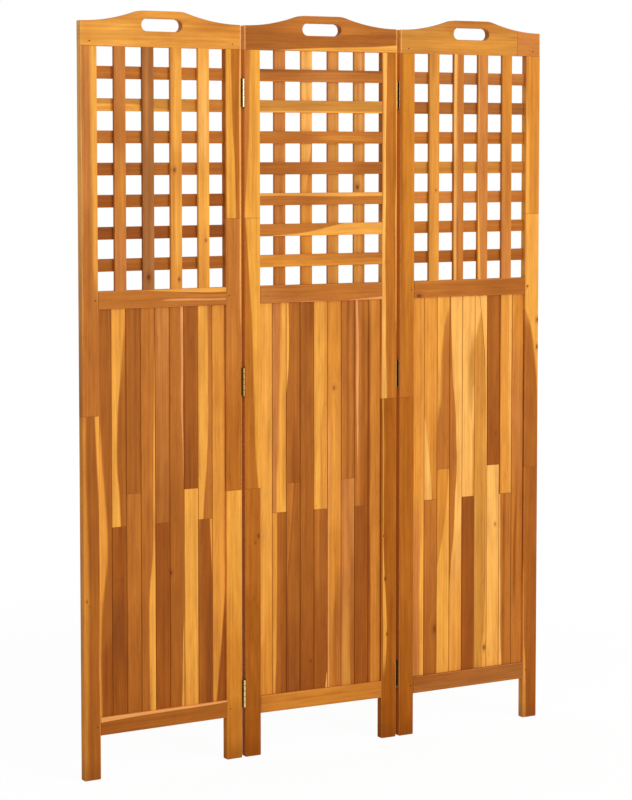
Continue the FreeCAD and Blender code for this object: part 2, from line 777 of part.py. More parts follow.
def make_screw_row(panel, side, hinge):
    """The screws of one leaf, each with a crossed recess in its head."""
    label = "%s_%s_%s_screws" % (panel.name, side, hinge)
    first = screw_heights(hinge)[0]
    body = screw_blank(label, side, first)
    row(body, "Z_Axis", SCREW_PITCH, "screws_per_leaf")
    depth = "recess_depth + cut_overrun"
    x = across(side, "-leaf_thickness - cut_overrun", depth)
    tools = []
    for z in screw_heights(hinge):
        for width, height in (("recess_length", "recess_width"), ("recess_width", "recess_length")):
            at = (x, "%s - %s / 2" % (MID_PLANE, width), "%s - %s / 2" % (z, height))
            tools.append(box(None, "Recess", at, (depth, width, height)))
    return carve(label, body, tools)


def make_screws(panel, sides):
    """The hinge screws of a panel."""
    rows = [make_screw_row(panel, side, hinge) for side in sides for hinge in HINGE_HEIGHTS]
    keep(together("Compound", "%s_hinge_screws" % panel.name, Links=rows), panel.placement)


def make_panel(panel, hinged_sides):
    """Every wooden piece of a panel, with its brads and its hinge screws."""
    for side in ("left", "right"):
        make_stile(panel, side, side in hinged_sides)
    make_top_rail(panel)
    make_middle_rail(panel)
    make_bottom_rail(panel)
    for number in range(1, int(value("board_count")) + 1):
        make_board(panel, number)
    make_uprights(panel)
    make_crossbars(panel)
    make_brads(panel)
    make_screws(panel, hinged_sides)


def place_panels(left, middle, right):
    """Put the middle panel on the origin and fold the outer ones on their pins."""
    width, thick = value("panel_width"), value("frame_thickness")
    reach, offset = value(BARREL_RADIUS), value("pin_offset")
    back = thick + offset
    middle.placement = Placement(Vector(-width / 2, -thick / 2, 0), Rotation())
    pivots = (
        (left, Vector(-reach, -offset, 0), Vector(width + reach, -offset, 0), "left_fold_degrees"),
        (right, Vector(width + reach, back, 0), Vector(-reach, back, 0), "right_fold_degrees"),
    )
    for panel, on_middle, on_panel, fold in pivots:
        turn = Rotation(Vector(0, 0, 1), value(fold))
        panel.placement = Placement(middle.placement.multVec(on_middle) - turn.multVec(on_panel), turn)


def check():
    """Stop where an object has failed or a sub-part isn't a sound solid."""
    doc.recompute()
    for item in doc.Objects:
        if "Invalid" in item.State or "Error" in item.State:
            raise RuntimeError("%s: %s" % (item.Label, item.State))
    for node in nodes:
        if node.Shape.isNull() or not node.Shape.isValid() or not node.Shape.Solids:
            raise RuntimeError("%s has no sound solid" % node.Label)


def export():
    """Write each sub-part to its own file."""
    os.makedirs("parts", exist_ok=True)
    for node in nodes:
        node.Shape.exportStep("parts/%s.step" % node.Label)
        print(node.Label, len(node.Shape.Solids), "solids", round(node.Shape.Volume), "mm3")


def main():
    """Build the three panels and their hinges, check them and write them."""
    fill_sheet()
    left, middle, right = Panel("left_panel"), Panel("middle_panel", turned=True), Panel("right_panel")
    place_panels(left, middle, right)
    make_panel(left, ["right"])
    make_panel(middle, ["left", "right"])
    make_panel(right, ["left"])
    make_leaves(left, "right", pins_behind=False, outer=True)
    make_leaves(middle, "left", pins_behind=False, outer=False)
    make_pins("left_hinge", middle, "left", pins_behind=False)
    make_leaves(middle, "right", pins_behind=True, outer=True)
    make_leaves(right, "left", pins_behind=True, outer=False)
    make_pins("right_hinge", middle, "right", pins_behind=True)
    check()
    export()


main()
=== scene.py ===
# Looks of a three-panel folding screen: oiled acacia frames, boards and lattice, brass-plated hinges.
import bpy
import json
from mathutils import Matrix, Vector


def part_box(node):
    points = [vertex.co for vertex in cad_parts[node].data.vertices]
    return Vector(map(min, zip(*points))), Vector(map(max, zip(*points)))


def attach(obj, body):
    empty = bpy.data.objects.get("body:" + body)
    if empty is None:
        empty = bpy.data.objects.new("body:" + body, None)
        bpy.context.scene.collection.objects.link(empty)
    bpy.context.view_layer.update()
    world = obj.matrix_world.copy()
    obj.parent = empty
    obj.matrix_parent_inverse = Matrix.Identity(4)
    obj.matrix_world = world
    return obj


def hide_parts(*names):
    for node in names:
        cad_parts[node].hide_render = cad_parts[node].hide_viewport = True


bl_info = {
    "name": "Acacia folding screen",
    "version": (1, 0, 0),
    "blender": (4, 5, 0),
    "location": "3D View > Sidebar > Screen",
    "description": "Dresses the packed folding screen in oiled acacia and brass, with a studio round it",
    "category": "Object",
}

import json
import math

import bpy
from bpy.props import FloatProperty, FloatVectorProperty, PointerProperty
from mathutils import Matrix, Vector

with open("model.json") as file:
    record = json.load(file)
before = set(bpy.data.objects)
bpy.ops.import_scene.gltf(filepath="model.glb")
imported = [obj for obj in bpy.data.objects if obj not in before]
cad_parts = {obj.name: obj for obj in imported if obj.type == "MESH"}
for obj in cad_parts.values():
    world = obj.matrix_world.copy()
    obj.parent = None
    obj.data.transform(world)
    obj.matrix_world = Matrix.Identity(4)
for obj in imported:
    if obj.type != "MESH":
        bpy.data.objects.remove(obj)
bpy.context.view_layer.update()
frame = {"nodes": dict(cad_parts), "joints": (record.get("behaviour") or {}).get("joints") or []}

MM = 0.001
PANELS = ("left_panel", "middle_panel", "right_panel")


def tone(code):
    """An sRGB hex colour as linear red, green and blue."""
    parts = [int(code[i:i + 2], 16) / 255 for i in (1, 3, 5)]
    return tuple(c / 12.92 if c <= 0.04045 else ((c + 0.055) / 1.055) ** 2.4 for c in parts)


def colour_property(name, description, code):
    return FloatVectorProperty(
        name=name, description=description, default=tone(code), subtype="COLOR", size=3, min=0, max=1)


def length_property(name, description, default):
    return FloatProperty(
        name=name, description=description, default=default, min=0, unit="LENGTH", subtype="DISTANCE")


class ScreenTones(bpy.types.PropertyGroup):
    """Tones of oiled acacia, from sapwood to the darkest heartwood, and the painted light and shade of the
    hinge gaps.
    """

    cream: colour_property("Cream", "Palest sapwood", "#F4B057")
    gold: colour_property("Gold", "Sapwood", "#EDA341")
    honey: colour_property("Honey", "Wood beside the sapwood", "#E19337")
    amber: colour_property("Amber", "Light heartwood", "#D3852C")
    ochre: colour_property("Ochre", "Light heartwood with a green cast", "#CB8733")
    # Peach is also painted over the rounded edges, partly as wear and partly as a painted highlight.
    peach: colour_property("Peach", "Narrow streak of pinkish sapwood", "#E89B5D")
    tan: colour_property("Tan", "Middle heartwood with a pink cast", "#C87B36")
    chestnut: colour_property("Chestnut", "Middle heartwood", "#BB6E25")
    umber: colour_property("Umber", "Brown heartwood", "#A95F1A")
    walnut: colour_property("Walnut", "Dull brown heartwood", "#A56630")
    russet: colour_property("Russet", "Red-brown heartwood", "#9B5111")
    dark: colour_property("Dark", "Darkest heartwood", "#874511")
    # Sienna and burnt sienna are painted light and shade on the stiles' sides in the hinge gaps: warm light
    # high up, turning to painted shade towards the floor.
    sienna: colour_property("Sienna", "Stiles' edges in the hinge gaps, their oil not rubbed off", "#EC9630")
    burnt: colour_property("Burnt sienna", "The same edges near the floor", "#C0701F")
    knot: colour_property("Knot", "Knots", "#52200A")
    # Groove darkens the joints between the boards, partly as oil and dust and partly as painted shade.
    groove: colour_property("Groove", "Joints between the boards", "#6C2E06")


class ScreenGrain(bpy.types.PropertyGroup):
    """Sizes and strengths of the wood's figure."""

    streak: length_property("Streak width", "Width of the broad streaks along the grain", 0.007)
    fibre: length_property("Fibre width", "Width of the fine streaks along the grain", 0.0022)
    pore: length_property("Pore width", "Width of the pore marks, drawn wider than real ones", 0.0008)
    contrast: FloatProperty(
        name="Contrast", description="Strength of the streaks", default=0.9, min=0, max=3, subtype="FACTOR")


class ScreenLattice(bpy.types.PropertyGroup):
    """Sizes of the lattice's slats."""

    width: length_property("Slat width", "Width of a slat", 0.028)
    arris: length_property("Arris", "Radius of a slat's long edges", 0.0012)


class ScreenHardware(bpy.types.PropertyGroup):
    """Colours of the hinges' metal."""

    plating: colour_property("Plating", "Brass plating of hinges, pins and screws", "#DCC391")
    bronze: colour_property("Bronze", "Plating of the middle hinges, which has gone brown", "#A98452")
    # The next two dull colours are painted shade on the hinges: on faces in the gap between the panels, and
    # at the joints between knuckles.
    hinge_shade: colour_property("Tarnish", "Where the plating has gone dull", "#5A4614")
    brown: colour_property("Brown", "Where the right hinges' plating has gone dull", "#96703A")
    steel: colour_property("Steel", "Steel of the brads", "#4C3A28")
    rust: colour_property("Rust", "Where the brads have gone brown", "#38220E")


class ScreenStudio(bpy.types.PropertyGroup):
    """Camera, light and floor."""

    camera_place: FloatVectorProperty(
        name="Camera", description="The camera's place", default=(-2.4872, -4.6903, 1.3953),
        subtype="TRANSLATION", unit="LENGTH")
    camera_turn: FloatProperty(
        name="Camera turn", description="How far the camera is turned from the screen's depth axis",
        default=math.radians(-27.833), subtype="ANGLE", unit="ROTATION")
    camera_tilt: FloatProperty(
        name="Camera tilt", description="How far the camera looks down", default=math.radians(3.846),
        subtype="ANGLE", unit="ROTATION")
    lens: FloatProperty(
        name="Lens", description="Focal length on a 36 mm sensor", default=103.415, min=1,
        subtype="DISTANCE_CAMERA", unit="CAMERA")
    # A camera held level would need a shift of a third of the height, and views from other sides would then
    # cut off the screen's top. So this one looks down a little and is shifted less.
    shift: FloatVectorProperty(
        name="Shift", description="Shift of the picture, as a share of its height", default=(0.0, -0.12),
        size=2)
    sky: FloatProperty(
        name="Sky", description="Strength of the white light from all round", default=0.59, min=0)
    key: FloatProperty(
        name="Key lamp", description="Power of the front lamp", default=131, min=0, unit="POWER")
    floor: length_property("Floor", "How far the floor reaches from the middle", 14.0)


class ScreenSettings(bpy.types.PropertyGroup):
    """All settings of the folding screen."""

    tones: PointerProperty(type=ScreenTones)
    grain: PointerProperty(type=ScreenGrain)
    lattice: PointerProperty(type=ScreenLattice)
    hardware: PointerProperty(type=ScreenHardware)
    studio: PointerProperty(type=ScreenStudio)


def settings():
    return bpy.context.scene.acacia_screen


def add(tree, kind, inputs=(), **choices):
    """Adds a node with these choices, and sets or links its inputs, by name or in the order it shows them.

    A node given as an input stands for the first output that it shows, and None leaves an input alone.
    """
    node = tree.nodes.new(kind)
    for name, value in choices.items():
        setattr(node, name, value)
    shown = [socket for socket in node.inputs if socket.enabled]
    for key, value in inputs.items() if isinstance(inputs, dict) else enumerate(inputs):
        socket = node.inputs[key] if isinstance(key, str) else shown[key]
        if isinstance(value, bpy.types.Node):
            value = next(output for output in value.outputs if output.enabled)
        if isinstance(value, bpy.types.NodeSocket):
            tree.links.new(value, socket)
        elif value is not None:
            socket.default_value = value
    return node


def new_tree(name, kind, inputs, outputs):
    """A node group with these sockets, (label, type) each, and the outputs of its input node."""
    tree = bpy.data.node_groups.new(name, kind)
    for label, socket in inputs:
        tree.interface.new_socket(label, in_out="INPUT", socket_type="NodeSocket" + socket)
    for label, socket in outputs:
        tree.interface.new_socket(label, in_out="OUTPUT", socket_type="NodeSocket" + socket)
    return tree, add(tree, "NodeGroupInput").outputs


def new_material(name):
    material = bpy.data.materials.new(name)
    material.use_nodes = True
    material.node_tree.nodes.clear()
    return material


def patches_tree():
    """Noise whose patches have a given size in mm each way."""
    tree, given = new_tree(
        "drawn_out_patches", "ShaderNodeTree",
        [("Place", "Vector"), ("Size", "Vector"), ("Detail", "Float"), ("Roughness", "Float")],
        [("Value", "Float")])
    place = add(tree, "ShaderNodeVectorMath", (given["Place"], given["Size"]), operation="DIVIDE")
    value = add(tree, "ShaderNodeTexNoise", (place, 1.0, given["Detail"], given["Roughness"]))
    add(tree, "NodeGroupOutput", (value,))
    return tree


def figure_tree():
    """The figure of acacia: streaks, fibres, ring lines and pores, all drawn out along the grain."""
    grain = settings().grain
    streak, fibre, pore = grain.streak / MM, grain.fibre / MM, grain.pore / MM
    patches = shared("drawn_out_patches")
    tree, given = new_tree(
        "acacia_figure", "ShaderNodeTree", [("Place", "Vector"), ("Seed", "Float")],
        [("Warped", "Vector"), ("Shade", "Float"), ("Fibre", "Float")])
    # The next seed's figure is taken this far off in mm, so that no two pieces share theirs.
    apart = add(tree, "ShaderNodeVectorMath", ((71.0, 13.0, 397.0), given["Seed"]), operation="SCALE")
    place = add(tree, "ShaderNodeVectorMath", (given["Place"], apart), operation="ADD")
    # The grain wanders sideways over a quarter of a metre, by a few of these 9 mm.
    wander = add(tree, "ShaderNodeGroup", (place, (60, 60, 260), 1.0, 0.5), node_tree=patches)
    wander = add(tree, "ShaderNodeMath", (wander, 0.5), operation="SUBTRACT")
    wander = add(tree, "ShaderNodeMath", (wander, 9.0), operation="MULTIPLY")
    aside = add(tree, "ShaderNodeCombineXYZ", (wander,))
    warped = add(tree, "ShaderNodeVectorMath", (given["Place"], aside), operation="ADD")
    place = add(tree, "ShaderNodeVectorMath", (place, aside), operation="ADD")
    # Each layer's patches in mm across, through and along the grain, their detail and their roughness.
    broad, fine, mottle, flecks, slow, pores = (
        add(tree, "ShaderNodeGroup", (place, size, detail, roughness), node_tree=patches)
        for size, detail, roughness in (
            ((streak, streak * 2, 420), 2.5, 0.55), ((fibre, fibre * 2, 150), 2.0, 0.6),
            ((45, 45, 150), 1.5, 0.5), ((streak * 1.5, streak * 3, 65), 1.5, 0.5), ((34, 34, 520), 1.0, 0.5),
            ((pore, pore, 14), 0.0, 0.5)))
    # Ring lines are level lines of the slow layer, eleven from its least to its most, as where a flat-sawn
    # board cuts the growth rings.
    slow = add(tree, "ShaderNodeMath", (slow, 11.0), operation="MULTIPLY")
    rings = add(tree, "ShaderNodeMath", (slow, 0.5), operation="PINGPONG")
    rings = add(tree, "ShaderNodeMapRange", (rings, 0.10, 0.0), interpolation_type="SMOOTHSTEP")
    # Real pores are 0.2 mm wide. These are drawn wider, so that they show.
    pores = add(tree, "ShaderNodeMapRange", (pores, 0.62, 0.75), interpolation_type="SMOOTHSTEP")
    shade = 0.0
    for layer, middle, weight in (
            (broad, 0.5, 0.75), (fine, 0.5, 0.42), (mottle, 0.5, 0.45), (flecks, 0.5, 0.38),
            (rings, 0.0, -0.09), (pores, 0.0, -0.08)):
        layer = add(tree, "ShaderNodeMath", (layer, middle), operation="SUBTRACT")
        shade = add(tree, "ShaderNodeMath", (layer, weight * grain.contrast, shade), operation="MULTIPLY_ADD")
    fibres = add(tree, "ShaderNodeMath", (pores, -0.6, fine), operation="MULTIPLY_ADD")
    add(tree, "NodeGroupOutput", (warped, shade, fibres))
    return tree


def knot_tree():
    """A small knot: the place with the grain led round it, the knot's own mask, and the stain about it."""
    tree, given = new_tree(
        "knot", "ShaderNodeTree",
        [("Place", "Vector"), ("Across", "Float"), ("Along", "Float"), ("Radius", "Float"),
         ("Strength", "Float")],
        [("Place", "Vector"), ("Mask", "Float"), ("Halo", "Float")])
    part = add(tree, "ShaderNodeSeparateXYZ", (given["Place"],)).outputs
    # A knot is drawn out along the grain, here by half its width.
    aside = add(tree, "ShaderNodeMath", (part["X"], given["Across"]), operation="SUBTRACT")
    rise = add(tree, "ShaderNodeMath", (part["Z"], given["Along"]), operation="SUBTRACT")
    rise = add(tree, "ShaderNodeMath", (rise, 1.5), operation="DIVIDE")
    away = add(tree, "ShaderNodeCombineXYZ", (aside, 0.0, rise))
    away = add(tree, "ShaderNodeVectorMath", (away,), operation="LENGTH").outputs["Value"]
    away = add(tree, "ShaderNodeMath", (away, given["Radius"]), operation="DIVIDE")
    ragged = add(tree, "ShaderNodeGroup", (given["Place"], (2.5, 2.5, 3.5), 2.0, 0.5),
                 node_tree=shared("drawn_out_patches"))
    ragged = add(tree, "ShaderNodeMath", (ragged, 0.7, away), operation="MULTIPLY_ADD")
    # The knot, its stain and the grain led round it fade out at these shares of its radius.
    mask = add(tree, "ShaderNodeMapRange", (ragged, 1.6, 0.6, 0.0, given["Strength"]),
               interpolation_type="SMOOTHSTEP")
    halo = add(tree, "ShaderNodeMath", (given["Strength"], 0.6), operation="MULTIPLY")
    halo = add(tree, "ShaderNodeMapRange", (ragged, 3.4, 0.8, 0.0, halo), interpolation_type="SMOOTHSTEP")
    led = add(tree, "ShaderNodeMapRange", (away, 4.0, 0.8, 0.0, 0.55), interpolation_type="SMOOTHSTEP")
    led = add(tree, "ShaderNodeMath", (aside, led), operation="MULTIPLY")
    led = add(tree, "ShaderNodeMath", (part["X"], led), operation="SUBTRACT")
    place = add(tree, "ShaderNodeCombineXYZ", (led, part["Y"], part["Z"]))
    add(tree, "NodeGroupOutput", (place, mask, halo))
    return tree


def edges_tree():
    """Where a face turns: the rounded or chamfered edges, and the ends across the grain."""
    tree, given = new_tree(
        "edges", "ShaderNodeTree", [("Lying", "Float")], [("Edge", "Float"), ("End", "Float")])
    normal = add(tree, "ShaderNodeTexCoord").outputs["Normal"]
    part = add(tree, "ShaderNodeVectorMath", (normal,), operation="ABSOLUTE")
    part = add(tree, "ShaderNodeSeparateXYZ", (part,)).outputs
    most = add(tree, "ShaderNodeMath", (part["X"], part["Y"]), operation="MAXIMUM")
    most = add(tree, "ShaderNodeMath", (most, part["Z"]), operation="MAXIMUM")
    # On a flat face the largest part of the normal is nearly 1, and on a rounded edge it is less.
    edge = add(tree, "ShaderNodeMapRange", (most, 0.99, 0.88), interpolation_type="SMOOTHSTEP")
    along = add(tree, "ShaderNodeMix", (given["Lying"], part["Z"], part["X"]))
    end = add(tree, "ShaderNodeMapRange", (along, 0.6, 0.9), interpolation_type="SMOOTHSTEP")
    add(tree, "NodeGroupOutput", (edge, end))
    return tree


WOOD_TREES = {"drawn_out_patches": patches_tree, "acacia_figure": figure_tree, "knot": knot_tree,
              "edges": edges_tree}


def shared(name):
    """A node group that all woods share, made when it is first asked for."""
    return bpy.data.node_groups.get(name) or WOOD_TREES[name]()


def edge_curve(tree, along, points):
    """An edge of a band that runs through these (along, across) points, in mm, eased between them."""
    first, last = points[0][0], points[-1][0]
    low, high = min(across for _, across in points), max(across for _, across in points)
    if high == low:
        return low
    share = add(tree, "ShaderNodeMapRange", (along, first, last))
    curve = add(tree, "ShaderNodeFloatCurve", {"Value": share})
    dots = curve.mapping.curves[0].points
    while len(dots) < len(points):
        dots.new(0.5, 0.5)
    for dot, (at, across) in zip(dots, points):
        dot.location = ((at - first) / (last - first), (across - low) / (high - low))
        dot.handle_type = "AUTO_CLAMPED"
    curve.mapping.update()
    return add(tree, "ShaderNodeMath", (curve, high - low, low), operation="MULTIPLY_ADD")


# L and R lie beside a piece, to its left and right, in mm.
L, R = -99, 99


def band_mask(tree, across, along, blur, points):
    """1 inside a band of other wood. Each point is (along, left edge, right edge, strength) in mm, and the
    strength may be left out, or (along, strength) where the band is as wide as the piece."""
    points = [(point[0], L, R, point[1]) if len(point) == 2 else (*point, 1.0)[:4] for point in points]
    mask = edge_curve(tree, along, [(point[0], point[3]) for point in points])
    for side, beside in ((1, L), (2, R)):
        if all(point[side] == beside for point in points):
            continue
        edge = edge_curve(tree, along, [(point[0], point[side]) for point in points])
        sides = (across, edge) if beside == L else (edge, across)
        inside = add(tree, "ShaderNodeMath", sides, operation="SUBTRACT")
        inside = add(tree, "ShaderNodeMapRange", (inside, -blur, blur), interpolation_type="SMOOTHSTEP")
        mask = add(tree, "ShaderNodeMath", (mask, inside), operation="MULTIPLY")
    return mask


# Places on a piece in mm: how high the painted shade near the floor reaches on a stile, between which heights
# the painted light on a stile's side in a hinge gap grows paler, half the width of a glue line where it is
# faint and where it is full, the middle of a panel, and how far from it a top rail's ends start.
FLOOR_SHADE_TOP = 65.0
GAP_PAINT_HEIGHTS = (150.0, 1500.0)
GLUE_LINE = (1.3, 0.3)
PANEL_MIDDLE = 199.0
RAIL_END = 194.0
# How far apart the figures of two lengths glued end to end are taken.
SEED_STEP = 5.3


def timber(name, panel, corner, runs, lying=False, seed=0.0, vee=False, gap_side=0):
    """Acacia, planed, sanded and rubbed with oil: warm, streaked, and only faintly glossy.

    corner is the piece's lower left corner on its panel in metres. The runs are the lengths glued end to
    end, with the place of the joint between each two. A stile's gap_side is the side that faces the next
    panel, -1 for the left, 1 for the right or 0 for none.
    """
    tones = {key: (*getattr(settings().tones, key), 1.0) for key in ScreenTones.__annotations__}
    wood = new_material("oiled_acacia_" + name)
    tree = wood.node_tree
    base, turn = PLACES[panel]
    # Undoing the panel's place and turn gives mm across the piece as X and up it as Z. A lying piece has X
    # and Z swapped as well, so that Z always follows the grain.
    at = base + Matrix.Rotation(turn, 3, "Z") @ Vector(corner)
    turned = (math.pi, -math.pi / 2, turn) if lying else (0.0, 0.0, turn)
    coordinates = add(tree, "ShaderNodeTexCoord").outputs
    place = add(tree, "ShaderNodeMapping", (coordinates["Object"], at, turned, (MM, MM, MM)),
                vector_type="TEXTURE")
    knots = []
    for spot in KNOTS.get(name, ()):
        place = add(tree, "ShaderNodeGroup", (place, *spot), node_tree=shared("knot"))
        knots += [(place.outputs["Halo"], tones["dark"]), (place.outputs["Mask"], tones["knot"])]
    along = add(tree, "ShaderNodeSeparateXYZ", (place,)).outputs["Z"]
    lengths, joints = runs[::2], runs[1::2]
    beyond = []
    for joint in joints:
        beyond.append(add(tree, "ShaderNodeMath", (along, joint), operation="GREATER_THAN"))
        seed = add(tree, "ShaderNodeMath", (beyond[-1], SEED_STEP, seed), operation="MULTIPLY_ADD")
    figure = add(tree, "ShaderNodeGroup", (place, seed), node_tree=shared("acacia_figure")).outputs
    across = add(tree, "ShaderNodeSeparateXYZ", (figure["Warped"],)).outputs["X"]
    colours = []
    for ground, *bands in lengths:
        colour = tones[ground]
        for other, blur, *points in bands:
            mask = band_mask(tree, across, along, blur, points)
            colour = add(tree, "ShaderNodeMix", (mask, colour, tones[other]), data_type="RGBA")
        colours.append(colour)
    colour = colours[0]
    for mask, length in zip(beyond, colours[1:]):
        colour = add(tree, "ShaderNodeMix", (mask, colour, length), data_type="RGBA")
    # Darker streaks are redder too, so blue and green change more than red.
    gain = add(tree, "ShaderNodeVectorMath", (figure["Shade"], (0.85, 1.1, 1.25), (1, 1, 1)),
               operation="MULTIPLY_ADD")
    colour = add(tree, "ShaderNodeMix", (1.0, colour, gain), data_type="RGBA", blend_type="MULTIPLY")
    # What lies over the figure, as (mask, colour) from the lowest up.
    layers = []
    for joint in joints:
        glue = add(tree, "ShaderNodeMath", (along, joint), operation="SUBTRACT")
        glue = add(tree, "ShaderNodeMath", (glue,), operation="ABSOLUTE")
        glue = add(tree, "ShaderNodeMapRange", (glue, *GLUE_LINE, 0.0, 0.5), interpolation_type="SMOOTHSTEP")
        layers.append((glue, tones["dark"]))
    layers += knots
    if name.endswith("stile"):
        # A stile is painted darker towards the floor over its lowest part, as painted shade near the floor.
        floor_shade = add(tree, "ShaderNodeMapRange", (along, 0.0, FLOOR_SHADE_TOP, 0.5, 0.0),
                     interpolation_type="SMOOTHERSTEP")
        layers.append((floor_shade, tones["dark"]))
    # A stile's side in a hinge gap is painted with the gap's light and shade. Sienna high up is painted warm
    # light, and burnt sienna towards the floor is painted shade. That side also gets little gloss.
    if gap_side:
        aside = add(tree, "ShaderNodeVectorMath", (coordinates["Normal"], (gap_side, 0, 0)),
                    operation="DOT_PRODUCT").outputs["Value"]
        aside = add(tree, "ShaderNodeMapRange", (aside, 0.8, 0.98, 0.0, 0.9), interpolation_type="SMOOTHSTEP")
        height = add(tree, "ShaderNodeMapRange", (along, *GAP_PAINT_HEIGHTS))
        oil = add(tree, "ShaderNodeMix", (height, tones["burnt"], tones["sienna"]), data_type="RGBA")
        layers.append((aside, oil))
    turns = add(tree, "ShaderNodeGroup", (1.0 if lying else 0.0,), node_tree=shared("edges")).outputs
    # The joints between the boards are darkened, partly as oil and dust and partly as painted shade in the V.
    # On the other pieces the rounded edges are painted paler, partly as wear and partly as a painted
    # highlight, more in some places than in others.
    rubbed = 0.35
    if not vee:
        rubbed = add(tree, "ShaderNodeMapRange", (figure["Fibre"], 0.35, 0.6, 0.15, 0.45))
    rubbed = add(tree, "ShaderNodeMath", (turns["Edge"], rubbed), operation="MULTIPLY")
    layers.append((rubbed, tones["groove" if vee else "peach"]))
    # End grain drinks more oil and goes darker. A top rail's ends are left out of this and get a painted
    # highlight instead.
    end = add(tree, "ShaderNodeMath", (turns["End"], 0.35), operation="MULTIPLY")
    if name.endswith("top_rail"):
        inner = add(tree, "ShaderNodeMath", (along, PANEL_MIDDLE, RAIL_END), operation="COMPARE")
        end = add(tree, "ShaderNodeMath", (end, inner), operation="MULTIPLY")
    layers.append((end, tones["dark"]))
    for mask, stain in layers:
        colour = add(tree, "ShaderNodeMix", (mask, colour, stain), data_type="RGBA")
    roughness = add(tree, "ShaderNodeMapRange", (figure["Fibre"], 0.2, 0.8, 0.58, 0.46))
    bump = add(tree, "ShaderNodeBump", {"Strength": 0.25, "Distance": 0.00025, "Height": figure["Fibre"]})
    surface = add(tree, "ShaderNodeBsdfPrincipled", {
        "Base Color": colour, "Roughness": roughness, "Normal": bump, "IOR": 1.5,
        "Specular IOR Level": 0.02 if gap_side else 0.1})
    add(tree, "ShaderNodeOutputMaterial", (surface,))
    return wood


# How far the outer panels are folded, in degrees.
FOLDS = {"left_panel": 3.0, "right_panel": 2.0}
# The middle panel's lower left front corner, and its right stile's upper right back one.
MIDDLE_CORNER = Vector(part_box("middle_panel_left_stile")[0])
MIDDLE_FAR_CORNER = Vector(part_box("middle_panel_right_stile")[1])


def on_panel(piece):
    """A piece's lower left front and upper right back corners on its panel in metres. The panels are alike,
    so they are read from the middle one, which isn't turned."""
    low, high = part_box("middle_panel_" + piece)
    return Vector(low) - MIDDLE_CORNER, Vector(high) - MIDDLE_CORNER


def panel_places():
    """Each panel's lower left front corner and its turn, worked out from its hinge pins."""
    pins = {joint["child"]: Vector(joint["pos_m"]) for joint in frame["joints"]}
    size = MIDDLE_FAR_CORNER - MIDDLE_CORNER
    gap = MIDDLE_CORNER - pins["left_panel"]
    places = {"middle_panel": (MIDDLE_CORNER, 0.0)}
    for panel, pin_on_panel in (
            ("left_panel", (size.x + gap.x, -gap.y)), ("right_panel", (-gap.x, size.y + gap.y))):
        turn = math.radians(FOLDS[panel])
        pin = Vector((pins[panel].x, pins[panel].y, 0))
        places[panel] = (pin - Matrix.Rotation(turn, 3, "Z") @ Vector((*pin_on_panel, 0)), turn)
    return places


PLACES = panel_places()

GAP_SIDES = {"left_panel_right_stile": 1, "middle_panel_left_stile": -1, "middle_panel_right_stile": 1,
             "right_panel_left_stile": -1}

# The two ends of a top rail, painted pale as a highlight on their rounded edges and end faces.
END_HIGHLIGHTS = (("cream", 1, (0, .9), (2, .9), (3.5, 0)), ("cream", 1, (394.5, 0), (396, .9), (400, .9)))
